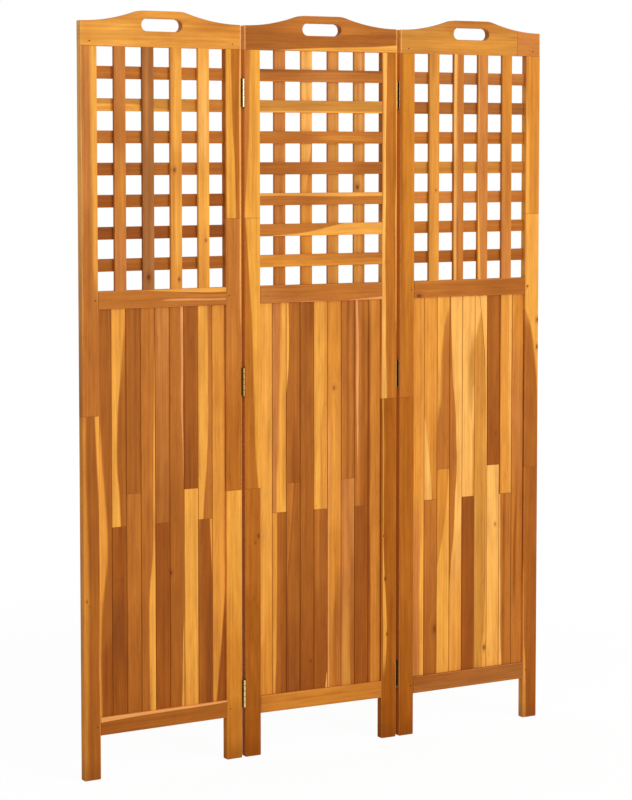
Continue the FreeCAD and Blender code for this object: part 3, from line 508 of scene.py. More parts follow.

# The wood of each piece: the lengths that are glued end to end, from the foot or the left end, with the place
# of the joint in mm before each but the first. A length is [tone, band, ...], and a band of other wood is
# (tone, blur in mm, point, ...), its points as band_mask takes them.
# Some bands stand for light, not wood. The cream bands along a stile's side edges, and the peach and cream
# strip along a bottom rail's top edge, are painted highlights on the rounded edges. Russet or umber that
# fades out just above a stile's foot is painted shade near the floor.
FRAME_WOOD = {
    "left_panel_left_stile": [
        ["umber", ("gold", 2.5, (480, 38, R), (600, 37, R), (700, 33, R), (811, 28, R)),
         ("amber", 4, (90, L, 6), (380, L, 12), (650, L, 8))],
        811, ["tan", ("gold", 4, (900, 34, R, 0), (1060, 30, R, .6), (1150, 27, R), (1650, 24, R)),
         ("chestnut", 8, (811, 1), (1150, L, 30, .8), (1300, L, 26, 0)),
         # Painted highlight on the stile's rounded left edge.
         ("cream", .8, (850, L, 2.5, 0), (1000, L, 2.5, .3), (1240, L, 3, .8), (1650, L, 3.5, .95))]],
    "left_panel_right_stile": [
        # The umber band that fades out by 150 mm is painted shade near the floor.
        ["amber", ("gold", 5, (250, 0), (450, .9), (621, 1)), ("umber", 8, (10, .4), (100, .35), (150, 0))],
        621, ["tan", ("chestnut", 5, (621, 1), (760, .9), (1000, .2)),
         # Painted highlight on the stile's rounded right edge.
         ("cream", .8, (980, 36, R, 0), (1060, 35.5, R, .9), (1240, 35.5, R, .9))],
        1240, ["chestnut", ("gold", 2, (1240, 1, 26), (1340, 1, 24), (1450, 1, 18), (1620, 1, 14)),
         # Painted highlight on the stile's rounded right edge.
         ("cream", .8, (1240, 35.5, R, .9), (1650, 35.5, R, .9))]],
    "left_panel_top_rail": [
        ["honey", ("gold", 8, (20, L, 60, .2), (90, L, 60, 1), (170, L, 40, .5), (300, L, 30, .2)),
         ("amber", 6, (250, 50, R, 0), (330, 30, R, .9), (400, 20, R)), *END_HIGHLIGHTS]],
    "left_panel_middle_rail": [
        ["chestnut", ("gold", 1, (90, 42, R), (150, 39, R), (200, 35, R), (300, 31, R), (365, 30, R)),
         ("russet", 1, (230, 31, 33, 0), (290, 28, 31), (365, 26, 30)),
         ("peach", 1.5, (190, 14, 16, 0), (240, 14, 18, .8), (365, 12, 17, .6))]],
    "left_panel_bottom_rail": [
        ["umber", ("russet", 8, (40, .8), (90, .6), (200, 0)),
         # The peach and cream strip along the rail's top edge is a painted highlight on its lit top edge.
         ("peach", .8, (40, 30, R), (200, 34, R), (360, 38, R)),
         ("cream", .8, (40, 31.5, R, .5), (200, 35.5, R, .5), (360, 39, R, .5))]],
    "middle_panel_left_stile": [
        # The russet band that fades out by 110 mm is painted shade near the floor.
        ["chestnut", ("umber", 6, (90, .9), (300, .9), (420, 0)), ("russet", 8, (10, .8), (110, 0))],
        621, ["gold", ("chestnut", 2.5, (621, L, 35), (700, L, 30), (800, L, 26), (900, L, 20),
          (1050, L, 14), (1150, L, 9), (1240, L, 2))],
        1240, ["gold",
         ("tan", 3, (1240, L, -2), (1300, L, 4), (1400, L, 9), (1500, L, 13), (1620, L, 16))]],
    "middle_panel_right_stile": [
        ["umber", ("gold", 1, (140, 4, 7, 0), (250, 4, 14), (310, 4, 13), (400, 4, 9), (480, 4, 6, .8)),
         # This russet band, fading out by 180 mm, is painted shade near the floor.
         ("russet", 8, (10, .9), (100, .6), (180, 0))],
        811, ["chestnut", ("cream", 1.5, (811, 1, 15), (900, 1, 13), (1050, 1, 11), (1250, 0, 9),
          (1400, 0, 8), (1620, 0, 12)),
         # Painted highlight on the stile's rounded right edge.
         ("cream", .8, (960, 36, R, 0), (1040, 35.5, R, .8), (1650, 35.5, R, .8))]],
    "middle_panel_top_rail": [
        ["umber", ("gold", 1, (60, L, -3), (110, L, 2), (200, L, 8), (300, L, 12), (400, L, 18)),
         ("chestnut", 8, (60, 40, R, 0), (200, 34, R), (330, 40, R, .3)), *END_HIGHLIGHTS]],
    "middle_panel_middle_rail": [
        ["chestnut", ("tan", 8, (40, .8), (120, 0)),
         ("peach", .8, (130, L, -1), (170, L, 2.5), (230, L, 1), (300, L, 4), (360, L, 7))]],
    "middle_panel_bottom_rail": [
        ["amber", ("umber", 6, (40, .5), (160, .1), (360, .4))]],
    "right_panel_left_stile": [
        ["umber", ("chestnut", 6, (250, 0), (400, .6), (480, .2), (811, .2)),
         # This russet band, fading out by 110 mm, is painted shade near the floor.
         ("russet", 8, (10, .9), (110, 0))],
        811, ["amber", ("umber", 3, (811, L, 17), (950, L, 14), (1100, L, 10), (1300, L, 7), (1650, L, 5)),
         ("chestnut", 8, (811, 1), (1000, .7), (1240, .3), (1500, 0))]],
    "right_panel_right_stile": [
        ["umber", ("honey", 2, (90, L, 9), (150, L, 6), (220, L, 2), (400, L, 2, .4)),
         ("russet", 8, (10, 12, R, .9), (300, 12, R, .5), (500, .5))],
        621, ["gold", ("umber", 4, (621, L, 43), (700, L, 41), (760, L, 40), (819, L, 38), (892, L, 31),
          (940, L, 24), (985, L, 12, .7), (1020, L, -6, .5))],
        1240, ["amber", ("gold", 2, (1240, L, 12), (1400, L, 8), (1500, L, 3), (1560, L, -3))]],
    "right_panel_top_rail": [
        ["ochre", ("honey", 8, (60, L, 30, .1), (160, L, 40, .5), (320, L, 40, .2)),
         ("chestnut", 6, (110, 60, R, 0), (180, 44, R, .8), (260, 55, R, .6)), END_HIGHLIGHTS[0]],
        331, ["tan", END_HIGHLIGHTS[1]]],
    "right_panel_middle_rail": [
        ["chestnut", ("umber", 6, (100, 0), (200, .5), (330, .9))]],
    "right_panel_bottom_rail": [
        ["umber", ("walnut", 8, (40, .5), (360, .5)),
         ("russet", 5, (40, 20, R, .6), (170, 26, R, .3), (240, 26, R, 0))]]}

BOARD_WOOD = {
    "left_panel": [
        [["umber", ("honey", 4, (280, L, 7), (360, L, 10), (440, L, 19), (520, L, 26), (600, L, 23),
           (700, L, 14), (800, L, 6)),
          ("gold", 3, (360, L, 2, .3), (460, L, 8), (600, L, 9), (720, L, 6, .6), (800, L, 2, 0)),
          ("russet", 4, (130, 12, R), (250, 14, R), (330, 22, R, 0))]],
        [["russet", ("dark", 5, (240, L, 20, 0), (320, L, 26, .8), (420, L, 30, 0))],
         560, ["umber", ("gold", 2.5, (560, L, 21), (640, L, 18), (700, L, 13), (800, L, 15), (900, L, 22),
           (1000, L, 29), (1060, L, 34)),
          ("honey", 8, (850, L, 26, 0), (980, L, 30, .7), (1060, .8))]],
        [["chestnut", ("umber", 5, (140, 1), (330, .6), (420, 0))],
         632, ["umber"]],
        [["chestnut", ("gold", 1.2, (140, 20, R), (300, 18, R), (400, 20, R), (460, 25, R), (540, 30, R),
           (620, 31.5, R), (900, 33, R), (1000, 37, R)),
          ("umber", 5, (140, L, 16, .6), (420, L, 18, .5), (560, L, 18, 0))]],
        [["russet"],
         560, ["tan", ("umber", 6, (560, .8), (800, .4), (950, 0))]],
        [["chestnut", ("umber", 4, (140, 1), (560, 1), (720, .2), (900, 0)),
          ("peach", 1, (620, 35, 35), (700, 32, 34.5), (800, 31, 35), (900, 30, 36), (1045, 28, 37)),
          ("gold", 1.2, (140, 28, R), (240, 31, R), (330, 36, R), (400, 42, R))]],
        [["gold", ("honey", 6, (140, .7), (240, .2), (400, 0))],
         632, ["umber", ("russet", 6, (632, 1), (780, .5), (950, .3))]],
        [["russet", ("umber", 4, (140, L, 10), (300, L, 12), (560, L, 9)),
          ("dark", 3, (140, 20, 32, .7), (300, 22, 34, .5), (420, 24, 34, 0)),
          ("honey", 1.5, (400, 37, R), (470, 33, R), (560, 30, R))],
         560, ["gold",
          ("chestnut", 2, (560, 12, R), (640, 18, R), (700, 23, R), (800, 26, R), (1050, 26, R))]],
        [["honey", ("amber", 6, (780, 0), (860, 4, 30, .8), (930, 0)),
          ("russet", 2, (140, 9, R), (200, 15, R), (300, 24, R), (400, 33, R), (460, 39, R)),
          ("amber", 3, (460, 33, R), (1050, 31, R))]]],
    "middle_panel": [
        [["gold", ("honey", 5, (140, 1), (300, .6), (500, .2), (600, 0)),
          ("amber", 5, (140, .9), (250, 8, R, .9), (320, 20, R, .6), (430, 26, R, 0))]],
        [["umber", ("russet", 2, (140, 22, R), (400, 26, R), (560, 28, R, .3)),
          ("honey", 1.2, (140, L, 9), (400, L, 11), (560, L, 10))],
         560, ["tan", ("gold", 4, (560, 11, R), (650, 13, R), (720, 17, R), (800, 17, R), (900, 21, R),
           (1000, 23, R), (1050, 25, R)),
          ("amber", 6, (560, 28, R, 0), (640, 26, R, .7), (800, 26, R, .6), (900, 28, R, 0))]],
        [["umber", ("chestnut", 1.5, (320, L, -2), (400, L, 5), (500, L, 12), (627, L, 20)),
          ("russet", 1, (400, 4, 6), (500, 11, 14), (627, 19, 24)),
          ("dark", 8, (140, .7), (250, .6), (330, 0))],
         627, ["chestnut", ("umber", 5, (627, 1), (850, .7), (1000, 12, R, .8), (1060, 12, R)),
          ("russet", 4, (627, 14, 38), (700, 16, 32), (820, 20, 30, 0)),
          ("gold", 1, (820, L, -1), (860, L, 3), (900, L, 6), (1050, L, 7))]],
        [["umber", ("russet", 5, (920, 14, R, 0), (980, 14, R, .6), (1050, 14, R, .7)),
          ("russet", 6, (140, 1), (190, .9), (430, .1), (500, 0))]],
        [["umber", ("chestnut", 3, (300, 4, 14, 0), (480, 4, 16), (560, 4, 16)),
          ("russet", 5, (140, 1), (300, .7), (400, 0)),
          ("cream", .8, (135, 31, 36), (160, 33, 36), (180, 34.5, 35, 0))],
         560, ["gold",
          ("honey", 2.5, (560, 19, R), (700, 17, R), (780, 22, R), (850, 27, R), (1050, 28, R))]],
        [["amber", ("honey", 5, (500, 3, R, 0), (570, 3, R), (800, 3, R, .8), (870, 3, R, 0)),
          ("peach", 1, (560, 1, 4), (700, 2, 5), (800, 2, 3, 0)),
          ("chestnut", 4, (140, 9, R), (300, 14, R, .9), (380, 22, R, .6), (460, 22, R, 0))]],
        [["tan", ("umber", 4, (140, 22, R), (350, 24, R, .8), (500, 26, R, 0)),
          ("ochre", 4, (140, 6, 24), (300, 8, 22, .6), (400, 8, 22, 0))],
         627, ["chestnut", ("umber", 2, (627, 12, 22), (850, 14, 21), (1050, 14, 24)),
          ("umber", 2, (627, 30, R), (1050, 31, R))]],
        [["russet"],
         560, ["chestnut", ("umber", 4, (560, 14, R), (900, 16, R, .8), (1050, 16, R, .4)),
          ("russet", 4, (560, 22, R), (650, 24, R), (760, 26, R, 0)),
          ("peach", .8, (640, 6, 6), (720, 5, 8), (800, 4, 9), (1050, 3, 9))]],
        [["amber", ("chestnut", 6, (140, .5), (330, .5), (700, .4), (1050, .3)),
          ("russet", .8, (130, L, 5.5), (900, L, 5), (1050, L, 5, .3))]]],
    "right_panel": [
        [["honey", ("tan", 4, (140, L, 24), (400, L, 22), (600, L, 20, 0)),
          ("gold", 2, (140, 25, R), (400, 24, R), (560, 27, R, .6), (620, 28, R, 0))]],
        [["chestnut", ("umber", 5, (140, 1), (280, .6), (400, 0))],
         560, ["honey", ("amber", 5, (560, 14, R), (700, 14, R, .8), (800, 14, R, 0)),
          ("cream", 1.5, (560, L, 22), (600, L, 20), (650, L, 15), (700, L, 9), (745, L, 4),
           (770, L, -4))]],
        [["gold", ("amber", 1.5, (390, L, -1), (400, L, 2), (440, L, 12), (480, L, 20), (520, L, 25),
           (632, L, 33))],
         632, ["gold", ("chestnut", 5, (632, -1, R), (700, 0, R), (760, 4, R), (800, 10, R), (850, 11, R),
           (900, 12, R), (950, 17, R, .9), (990, 25, R, .7), (1030, 38, R, .4))]],
        [["cream", ("honey", 4, (140, 1), (330, .7), (450, 0)), ("chestnut", 1.2, (300, L, -1), (340, L, 2),
           (400, L, 6), (480, L, 13), (560, L, 16), (640, L, 20), (700, L, 18), (750, L, 17), (800, L, 14),
           (850, L, 9), (900, L, 7), (950, L, 5), (1050, L, 2))]],
        [["russet", ("dark", 6, (400, 0), (560, 20, R, .5))],
         560, ["cream", ("ochre", 7, (740, 22, 32, 0), (820, 22, 34, .9), (880, 22, R), (930, 27, R, .6),
           (970, 29, R, 0)),
          ("amber", 3, (560, 28, R), (680, 30, R), (760, 33, R, 0))]],
        [["ochre", ("honey", 7, (560, 0), (750, L, 26, .5), (940, L, 22, .5)),
          ("cream", 4, (940, L, 0), (980, L, 10), (1010, L, 20), (1050, 1)), ("cream", 1, (800, 33, R),
           (850, 31, R), (900, 28, R), (950, 23, R), (1000, 18, R), (1045, 13, R)),
          ("umber", .6, (830, 30.5, 31.5, .4), (900, 27, 28.6), (950, 22, 23.6), (1000, 17, 18.6),
           (1045, 12, 13.6)),
          ("gold", 1, (140, 25, R), (200, 28, R), (300, 32, R), (380, 35, R), (450, 39, R))]],
        [["cream", ("amber", 4, (140, 20, R, .6), (300, 26, R, .4), (400, 26, R, 0)),
          ("gold", 5, (140, .6), (400, .3), (500, 0))],
         632, ["russet", ("umber", 5, (700, 0), (850, .8), (1050, .8))]],
        [["chestnut", ("umber", 2, (140, 12, 20), (350, 10, 18), (560, 14, 20)),
          ("cream", .8, (140, L, 10), (250, L, 6), (400, L, 4), (560, L, 3))],
         560, ["honey", ("cream", 2, (632, 27, R, .5), (800, 26, R), (1050, 27, R)),
          ("umber", 1, (600, L, 3), (1050, L, 2.5))]],
        [["amber", ("tan", 6, (560, 1), (760, .8), (950, .3), (1050, 0)),
          ("chestnut", 5, (140, .9), (500, 1), (600, .6), (760, 0)),
          ("russet", 2, (260, 8, 16, 0), (420, 8, 16), (560, 10, 16, .6), (660, 10, 16, 0))]]]}

UPRIGHT_WOOD = {
    "left_panel": [
        [["tan", ("chestnut", 6, (1380, 0), (1440, .7), (1500, 0)),
          ("amber", 4, (1180, 8, 20, 0), (1300, 8, 24), (1400, 8, 24, 0))]],
        [["walnut", ("tan", 2.5, (1380, 6, 14, 0), (1500, 7, 15, .9), (1640, 7, 15, .5))]],
        [["honey", ("gold", 4, (1380, 8, R, 0), (1450, 6, R), (1550, 8, R), (1620, 8, R, 0)),
          ("gold", 4, (1120, 6, R, 0), (1220, 8, R), (1320, 12, R, 0))]],
        [["gold", ("cream", 5, (1350, 4, 24, 0), (1460, 4, 24), (1600, 4, 24, 0)),
          ("honey", 5, (1085, 1), (1150, .8), (1250, 0))]]],
    "middle_panel": [
        [["tan", ("chestnut", 6, (1080, 1), (1250, .5), (1400, 0))]],
        [["cream", ("chestnut", 2, (1080, 2, R), (1200, 5, R), (1230, 10, R), (1290, 12, R), (1340, 18, R),
           (1400, 25, R), (1440, 30, R)),
          ("amber", 4, (1080, 1), (1260, .8), (1400, .3), (1480, 0))]],
        [["ochre", ("tan", 4, (1100, L, 12, .8), (1250, L, 12, .6), (1450, L, 12, .5)),
          ("peach", 5, (1430, 4, 18, 0), (1500, 4, 18, .3), (1620, 4, 18, .3))]],
        [["ochre", ("peach", 3, (1330, 8, 20, .2), (1550, 8, 20, .5)),
          ("chestnut", 4, (1080, 14, R, .6), (1200, 16, R, .6), (1330, 16, R, 0))]]],
    "right_panel": [
        [["ochre", ("honey", 3, (1080, 10, R, .5), (1300, 8, R), (1620, 12, R, .8))]],
        [["chestnut", ("cream", 1.2, (1080, 1, 7), (1200, 1, 10), (1350, 1, 11), (1640, 1, 10)),
          ("tan", 4, (1080, 8, 26, 0), (1200, 8, 26, .8), (1640, 8, 26, .4))]],
        [["tan", ("gold", 1.5, (1080, 1, 9), (1200, 0, 5), (1290, 0, 2))]],
        [["amber", ("tan", 5, (1080, 1), (1300, .6), (1500, 0))]]]}

CROSSBAR_WOOD = {
    "left_panel": [
        [["umber"]],
        [["russet", ("dark", 4, (40, .5), (200, .2), (360, .6))]],
        [["russet", ("umber", 5, (90, 0), (190, 1), (300, 0))]],
        [["umber", ("chestnut", 5, (90, 0), (190, 1), (300, 0))]],
        [["chestnut"]],
        [["ochre", ("gold", 2, (40, L, 17), (130, L, 15), (200, L, 8, .4)),
          ("chestnut", 3, (240, 0), (330, .7))]],
        [["chestnut"]]],
    "middle_panel": [
        [["amber", ("chestnut", 3, (180, 18, R, 0), (300, 16, R, .8), (360, 14, R))]],
        [["gold", ("chestnut", 1.5, (40, 0, R), (80, 4, R), (140, 8, R), (180, 13, R), (220, 20, R),
           (260, 27, R), (300, 34, R))]],
        [["chestnut", ("gold", 1, (40, 22, R), (150, 21, R), (360, 18, R))]],
        [["umber", ("chestnut", 4, (120, 0), (220, .8), (320, 0))]],
        [["chestnut", ("amber", 2, (180, 8, 16, 0), (260, 6, 18, .8), (330, 4, 16, .3))]],
        [["ochre", ("gold", .8, (40, L, 4), (360, L, 4))]],
        [["chestnut", ("tan", 4, (120, 0), (190, .8), (300, 0)),
          ("dark", 3, (40, 20, R, .8), (200, 22, R, .5), (360, 18, R, .6))]]],
    "right_panel": [
        [["umber"]],
        [["chestnut"]],
        # Crossbars 3 and 4 are painted darker towards their right ends, as painted shade beside the right
        # stile.
        [["tan", ("umber", 6, (230, 0), (330, .7))]],
        [["ochre", ("chestnut", 6, (230, 0), (330, .6))]],
        [["chestnut"]],
        [["umber", ("walnut", 4, (40, .4), (360, .6))]],
        [["tan", ("walnut", 4, (40, .5), (360, .5))]]]}

# Knots, as (across, along, radius, strength) on the piece, in mm.
KNOTS = {
    "left_panel_left_stile": [(8, 402, 1.8, .7), (14, 391, 1.1, .6)],
    "left_panel_board_6": [(2, 445, 3, .7)],
    "left_panel_board_5": [(35, 452, 2.5, .6)],
    "left_panel_upright_2": [(13, 1113, 5, .8)],
    "left_panel_upright_3": [(9, 1350, 3.4, .7), (20, 1106, 2.6, .7)],
    "left_panel_upright_4": [(19, 1192, 2, .7)],
    "middle_panel_left_stile": [(34, 511, 3, .6), (26, 496, 2, .5)],
    "middle_panel_right_stile": [(5, 485, 1.8, .7), (10, 382, 2.2, .8), (15, 250, 2.2, .7)],
    "middle_panel_board_4": [(28, 205, 3.5, .45)],
    "middle_panel_board_6": [(17, 842, 4, .5)],
    "middle_panel_upright_4": [(8, 1308, 4.5, .8)],
    "right_panel_right_stile": [(37.5, 981, 3.6, .95), (37, 915, 3.4, .95), (6, 1063, 2, .7)],
    "right_panel_middle_rail": [(5, 53, 5, .75)],
    "right_panel_board_2": [(32, 246, 8, .5)],
    "right_panel_board_6": [(30, 186, 5, .6)],
    "right_panel_board_7": [(25, 486, 3.2, .5), (26, 710, 2.8, .3)],
    "right_panel_upright_1": [(19, 1299, 2, .6)],
}

# Each piece's figure is taken by a number of its own. Each kind's numbers count on from these.
FIRST_SEED = {"frame": 1, "board": 30, "upright": 70, "crossbar": 90}


def dress(node, material):
    """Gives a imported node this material. Its mesh stays as it is."""
    for slot in frame["nodes"][node].material_slots:
        slot.material = material


class SCREEN_OT_frames(bpy.types.Operator):
    """Dress stiles and rails in oiled acacia"""

    bl_idname = "screen.frames"
    bl_label = "Frames"

    def execute(self, context):
        for seed, (node, runs) in enumerate(FRAME_WOOD.items(), FIRST_SEED["frame"]):
            panel = next(panel for panel in PANELS if node.startswith(panel))
            corner = on_panel(node[len(panel) + 1:])[0]
            lying = node.endswith("rail")
            # Where a rail's wood lies is written from the panel's left side, not from the tenon's end.
            corner = (0, 0, corner.z) if lying else (corner.x, 0, 0)
            dress(node, timber(node, panel, corner, runs, lying, seed, gap_side=GAP_SIDES.get(node, 0)))
        return {"FINISHED"}


class SCREEN_OT_boards(bpy.types.Operator):
    """Dress the tongue-and-groove boards in oiled acacia"""

    bl_idname = "screen.boards"
    bl_label = "Boards"

    def execute(self, context):
        seed = FIRST_SEED["board"]
        for panel in PANELS:
            for number, runs in enumerate(BOARD_WOOD[panel], 1):
                piece = "board_%d" % number
                corner = (on_panel(piece)[0].x, 0, 0)
                node = panel + "_" + piece
                dress(node, timber(node, panel, corner, runs, seed=seed, vee=True))
                seed += 1
        return {"FINISHED"}


def slat_tree():
    """A row of slats with rounded long edges. Each slat's number is kept on it as the attribute slat."""
    tree, given = new_tree(
        "slat_row", "GeometryNodeTree",
        [("Count", "Int"), ("First", "Vector"), ("Pitch", "Vector"), ("Length", "Float"), ("Width", "Float"),
         ("Thickness", "Float"), ("Arris", "Float"), ("Slat turn", "Vector"), ("Panel place", "Vector"),
         ("Panel turn", "Vector"), ("Material", "Material")],
        [("Geometry", "Geometry")])
    outline = add(tree, "GeometryNodeCurvePrimitiveQuadrilateral", (given["Width"], given["Thickness"]))
    outline = add(tree, "GeometryNodeFilletCurve", (outline, 3, given["Arris"]), mode="POLY")
    far_end = add(tree, "ShaderNodeCombineXYZ", (given["Length"],))
    line = add(tree, "GeometryNodeCurvePrimitiveLine", {"End": far_end})
    slat = add(tree, "GeometryNodeCurveToMesh", {"Curve": line, "Profile Curve": outline, "Fill Caps": True})
    row = add(tree, "GeometryNodeMeshLine", (given["Count"], given["First"], given["Pitch"]))
    turn = add(tree, "FunctionNodeEulerToRotation", (given["Slat turn"],))
    slats = add(tree, "GeometryNodeInstanceOnPoints", {"Points": row, "Instance": slat, "Rotation": turn})
    slats = add(tree, "GeometryNodeStoreNamedAttribute", {
        "Geometry": slats, "Name": "slat", "Value": add(tree, "GeometryNodeInputIndex")},
        data_type="INT", domain="INSTANCE")
    turn = add(tree, "FunctionNodeEulerToRotation", (given["Panel turn"],))
    slats = add(tree, "GeometryNodeTransform", {
        "Geometry": slats, "Translation": given["Panel place"], "Rotation": turn})
    slats = add(tree, "GeometryNodeRealizeInstances", {"Geometry": slats})
    slats = add(tree, "GeometryNodeSetMaterial", {"Geometry": slats, "Material": given["Material"]})
    add(tree, "NodeGroupOutput", (slats,))
    return tree


def made_by(tree, name, inputs):
    """A plain mesh object at the origin that a geometry tree makes with these inputs."""
    maker = bpy.data.objects.new(name + "_maker", bpy.data.meshes.new(name + "_maker"))
    bpy.context.scene.collection.objects.link(maker)
    modifier = maker.modifiers.new("made", "NODES")
    modifier.node_group = tree
    sockets = {item.name: item.identifier for item in tree.interface.items_tree if item.in_out == "INPUT"}
    for label, value in inputs.items():
        modifier[sockets[label]] = value
    mesh = bpy.data.meshes.new_from_object(maker.evaluated_get(bpy.context.evaluated_depsgraph_get()))
    mesh.name = name
    bpy.data.objects.remove(maker)
    piece = bpy.data.objects.new(name, mesh)
    bpy.context.scene.collection.objects.link(piece)
    return piece


def slat_layer(panel, kind, woods):
    """The uprights or the crossbars of a panel's lattice, each slat in its own wood."""
    upright = kind == "upright"
    across, along = (0, 2) if upright else (2, 0)
    low, high = on_panel(kind + "_slats")
    sizes = settings().lattice
    first = Vector((low.x, (low.y + high.y) / 2, low.z))
    first[across] += sizes.width / 2
    if panel != "middle_panel":
        # The middle panel is turned round, so the outer ones have the layers the other way about.
        first.y = (MIDDLE_FAR_CORNER - MIDDLE_CORNER).y - first.y
    pitch = Vector((0, 0, 0))
    pitch[across] = (high[across] - low[across] - sizes.width) / (len(woods) - 1)
    materials = []
    seed = FIRST_SEED[kind] + (len(woods) + 1) * PANELS.index(panel)
    for number, runs in enumerate(woods, 1):
        corner = low + pitch * (number - 1)
        corner[along] = 0
        name = "%s_%s_%d" % (panel, kind, number)
        materials.append(timber(name, panel, (corner.x, 0, corner.z), runs, not upright, seed + number))
    base, panel_turn = PLACES[panel]
    tree = bpy.data.node_groups.get("slat_row") or slat_tree()
    piece = made_by(tree, "%s_%s_lattice" % (panel, kind), {
        "Count": len(woods), "First": first, "Pitch": pitch, "Length": high[along] - low[along],
        "Width": sizes.width, "Thickness": high.y - low.y, "Arris": sizes.arris,
        "Slat turn": (0, -math.pi / 2, math.pi / 2) if upright else (math.pi / 2, 0, 0),
        "Panel place": base, "Panel turn": (0, 0, panel_turn), "Material": materials[0]})
    mesh = piece.data
    mesh.materials.clear()
    for material in materials:
        mesh.materials.append(material)
    numbers = mesh.attributes["slat"].data
    for face in mesh.polygons:
        face.material_index = numbers[face.vertices[0]].value
    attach(piece, panel)
    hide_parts("%s_%s_slats" % (panel, kind))


class SCREEN_OT_lattice(bpy.types.Operator):
    """Make the lattice's upright slats and crossbars"""

    bl_idname = "screen.lattice"
    bl_label = "Lattice"

    def execute(self, context):
        for kind, woods in (("upright", UPRIGHT_WOOD), ("crossbar", CROSSBAR_WOOD)):
            for panel in PANELS:
                slat_layer(panel, kind, woods[panel])
        return {"FINISHED"}


RIGHT_HINGES = ("middle_panel_right_hinge_leaves", "right_panel_left_hinge_leaves", "right_hinge_pins",
                "right_panel_hinge_screws")
# The hinges' lower ends and their length in mm, the number of knuckles, and half the width in mm of the
# painted shadow at the joint between two of them, where it is faint and where it is full.
HINGE_FEET = (117, 836, 1491)
HINGE_LENGTH = 64
KNUCKLES = 5
KNUCKLE_JOINT = (1.4, 0.4)


def metal(name, colour, dull, roughness, outside=0, middle=None):
    """Metal with the faint unevenness of a small stamped or drawn part. What faces outside, -1 for forwards
    and 1 for back, keeps the bright colour. The rest, in the narrow gap between the panels, is painted with
    the dull colour as the gap's shade, and so are the joints between the knuckles, as their shadow. The
    middle hinges may have a colour of their own."""
    made = new_material(name)
    tree = made.node_tree
    coordinates = add(tree, "ShaderNodeTexCoord").outputs
    place = add(tree, "ShaderNodeVectorMath", (coordinates["Object"], 1 / MM), operation="SCALE")
    # The uneven patches are 3 mm wide and 6 mm high.
    patches = add(tree, "ShaderNodeGroup", (place, (3, 3, 6), 2.0, 0.5),
                  node_tree=shared("drawn_out_patches"))
    colour, dull = (*colour, 1.0), (*dull, 1.0)
    if outside:
        height = add(tree, "ShaderNodeSeparateXYZ", (place,)).outputs["Z"]
        low, middling, high = HINGE_FEET
        above_low = add(tree, "ShaderNodeMath", (height, (low + middling) / 2), operation="GREATER_THAN")
        above_middle = add(tree, "ShaderNodeMath", (height, (middling + high) / 2), operation="GREATER_THAN")
        is_middle = add(tree, "ShaderNodeMath", (above_low, above_middle), operation="SUBTRACT")
        colour = add(tree, "ShaderNodeMix", (is_middle, colour, (*middle, 1.0)), data_type="RGBA")
        foot = add(tree, "ShaderNodeMath", (above_low, middling - low, low), operation="MULTIPLY_ADD")
        foot = add(tree, "ShaderNodeMath", (above_middle, high - middling, foot), operation="MULTIPLY_ADD")
        joint = add(tree, "ShaderNodeMath", (height, foot), operation="SUBTRACT")
        # How far it is to the nearest joint between two knuckles, in mm, where a shadow is painted.
        joint = add(tree, "ShaderNodeMath", (joint, HINGE_LENGTH / KNUCKLES / 2), operation="PINGPONG")
        joint = add(tree, "ShaderNodeMapRange", (joint, *KNUCKLE_JOINT, 0.0, 0.7),
                    interpolation_type="SMOOTHSTEP")
        # Faces turned away from outside lie in the gap between the panels, and they get the dull colour as
        # painted shade.
        facing = add(tree, "ShaderNodeVectorMath", (coordinates["Normal"], (0, outside, 0)),
                     operation="DOT_PRODUCT").outputs["Value"]
        facing = add(tree, "ShaderNodeMath", (patches, -0.3, facing), operation="MULTIPLY_ADD")
        mask = add(tree, "ShaderNodeMapRange", (facing, 0.82, 0.62), interpolation_type="SMOOTHSTEP")
        mask = add(tree, "ShaderNodeMath", (mask, joint), operation="MAXIMUM")
    else:
        mask = add(tree, "ShaderNodeMapRange", (patches, 0.4, 0.6))
    colour = add(tree, "ShaderNodeMix", (mask, colour, dull), data_type="RGBA")
    rough = add(tree, "ShaderNodeMapRange", (patches, 0.3, 0.7, roughness - 0.05, roughness + 0.08))
    bump = add(tree, "ShaderNodeBump", {"Strength": 0.2, "Distance": 0.0002, "Height": patches})
    surface = add(tree, "ShaderNodeBsdfPrincipled", {
        "Base Color": colour, "Metallic": 1.0, "Roughness": rough, "Normal": bump})
    add(tree, "ShaderNodeOutputMaterial", (surface,))
    return made


class SCREEN_OT_hinges(bpy.types.Operator):
    """Dress hinge leaves, pins, screws and brads"""

    bl_idname = "screen.hinges"
    bl_label = "Hinges and fastenings"

    def execute(self, context):
        colours = settings().hardware
        # Stamped steel with a thin bright brass plating: warm, smooth and shiny. The left hinges' pins are
        # in front of the screen, and the right ones' behind it.
        # Each hinge's dull colour is painted shade, in the gap between the panels and at the knuckles'
        # joints.
        left_brass, right_brass = (
            metal("brass_plated_steel_" + side, colours.plating, dull, 0.3, outside, colours.bronze)
            for side, dull, outside in (("left", colours.hinge_shade, -1), ("right", colours.brown, 1)))
        # Bare steel nails in oiled wood soon turn brown and matt.
        steel = metal("steel_brad", colours.steel, colours.rust, 0.5)
        for node in frame["nodes"]:
            if node.endswith(("leaves", "pins", "screws")):
                dress(node, right_brass if node in RIGHT_HINGES else left_brass)
            elif node.endswith("brads"):
                dress(node, steel)
        return {"FINISHED"}


def lamp(name, place, target, width, height, power):
    data = bpy.data.lights.new(name, "AREA")
    data.shape, data.size, data.size_y, data.energy = "RECTANGLE", width, height, power
    made = bpy.data.objects.new(name, data)
    made.location = place
    made.rotation_euler = (Vector(target) - Vector(place)).to_track_quat("-Z", "Y").to_euler()
    bpy.context.scene.collection.objects.link(made)


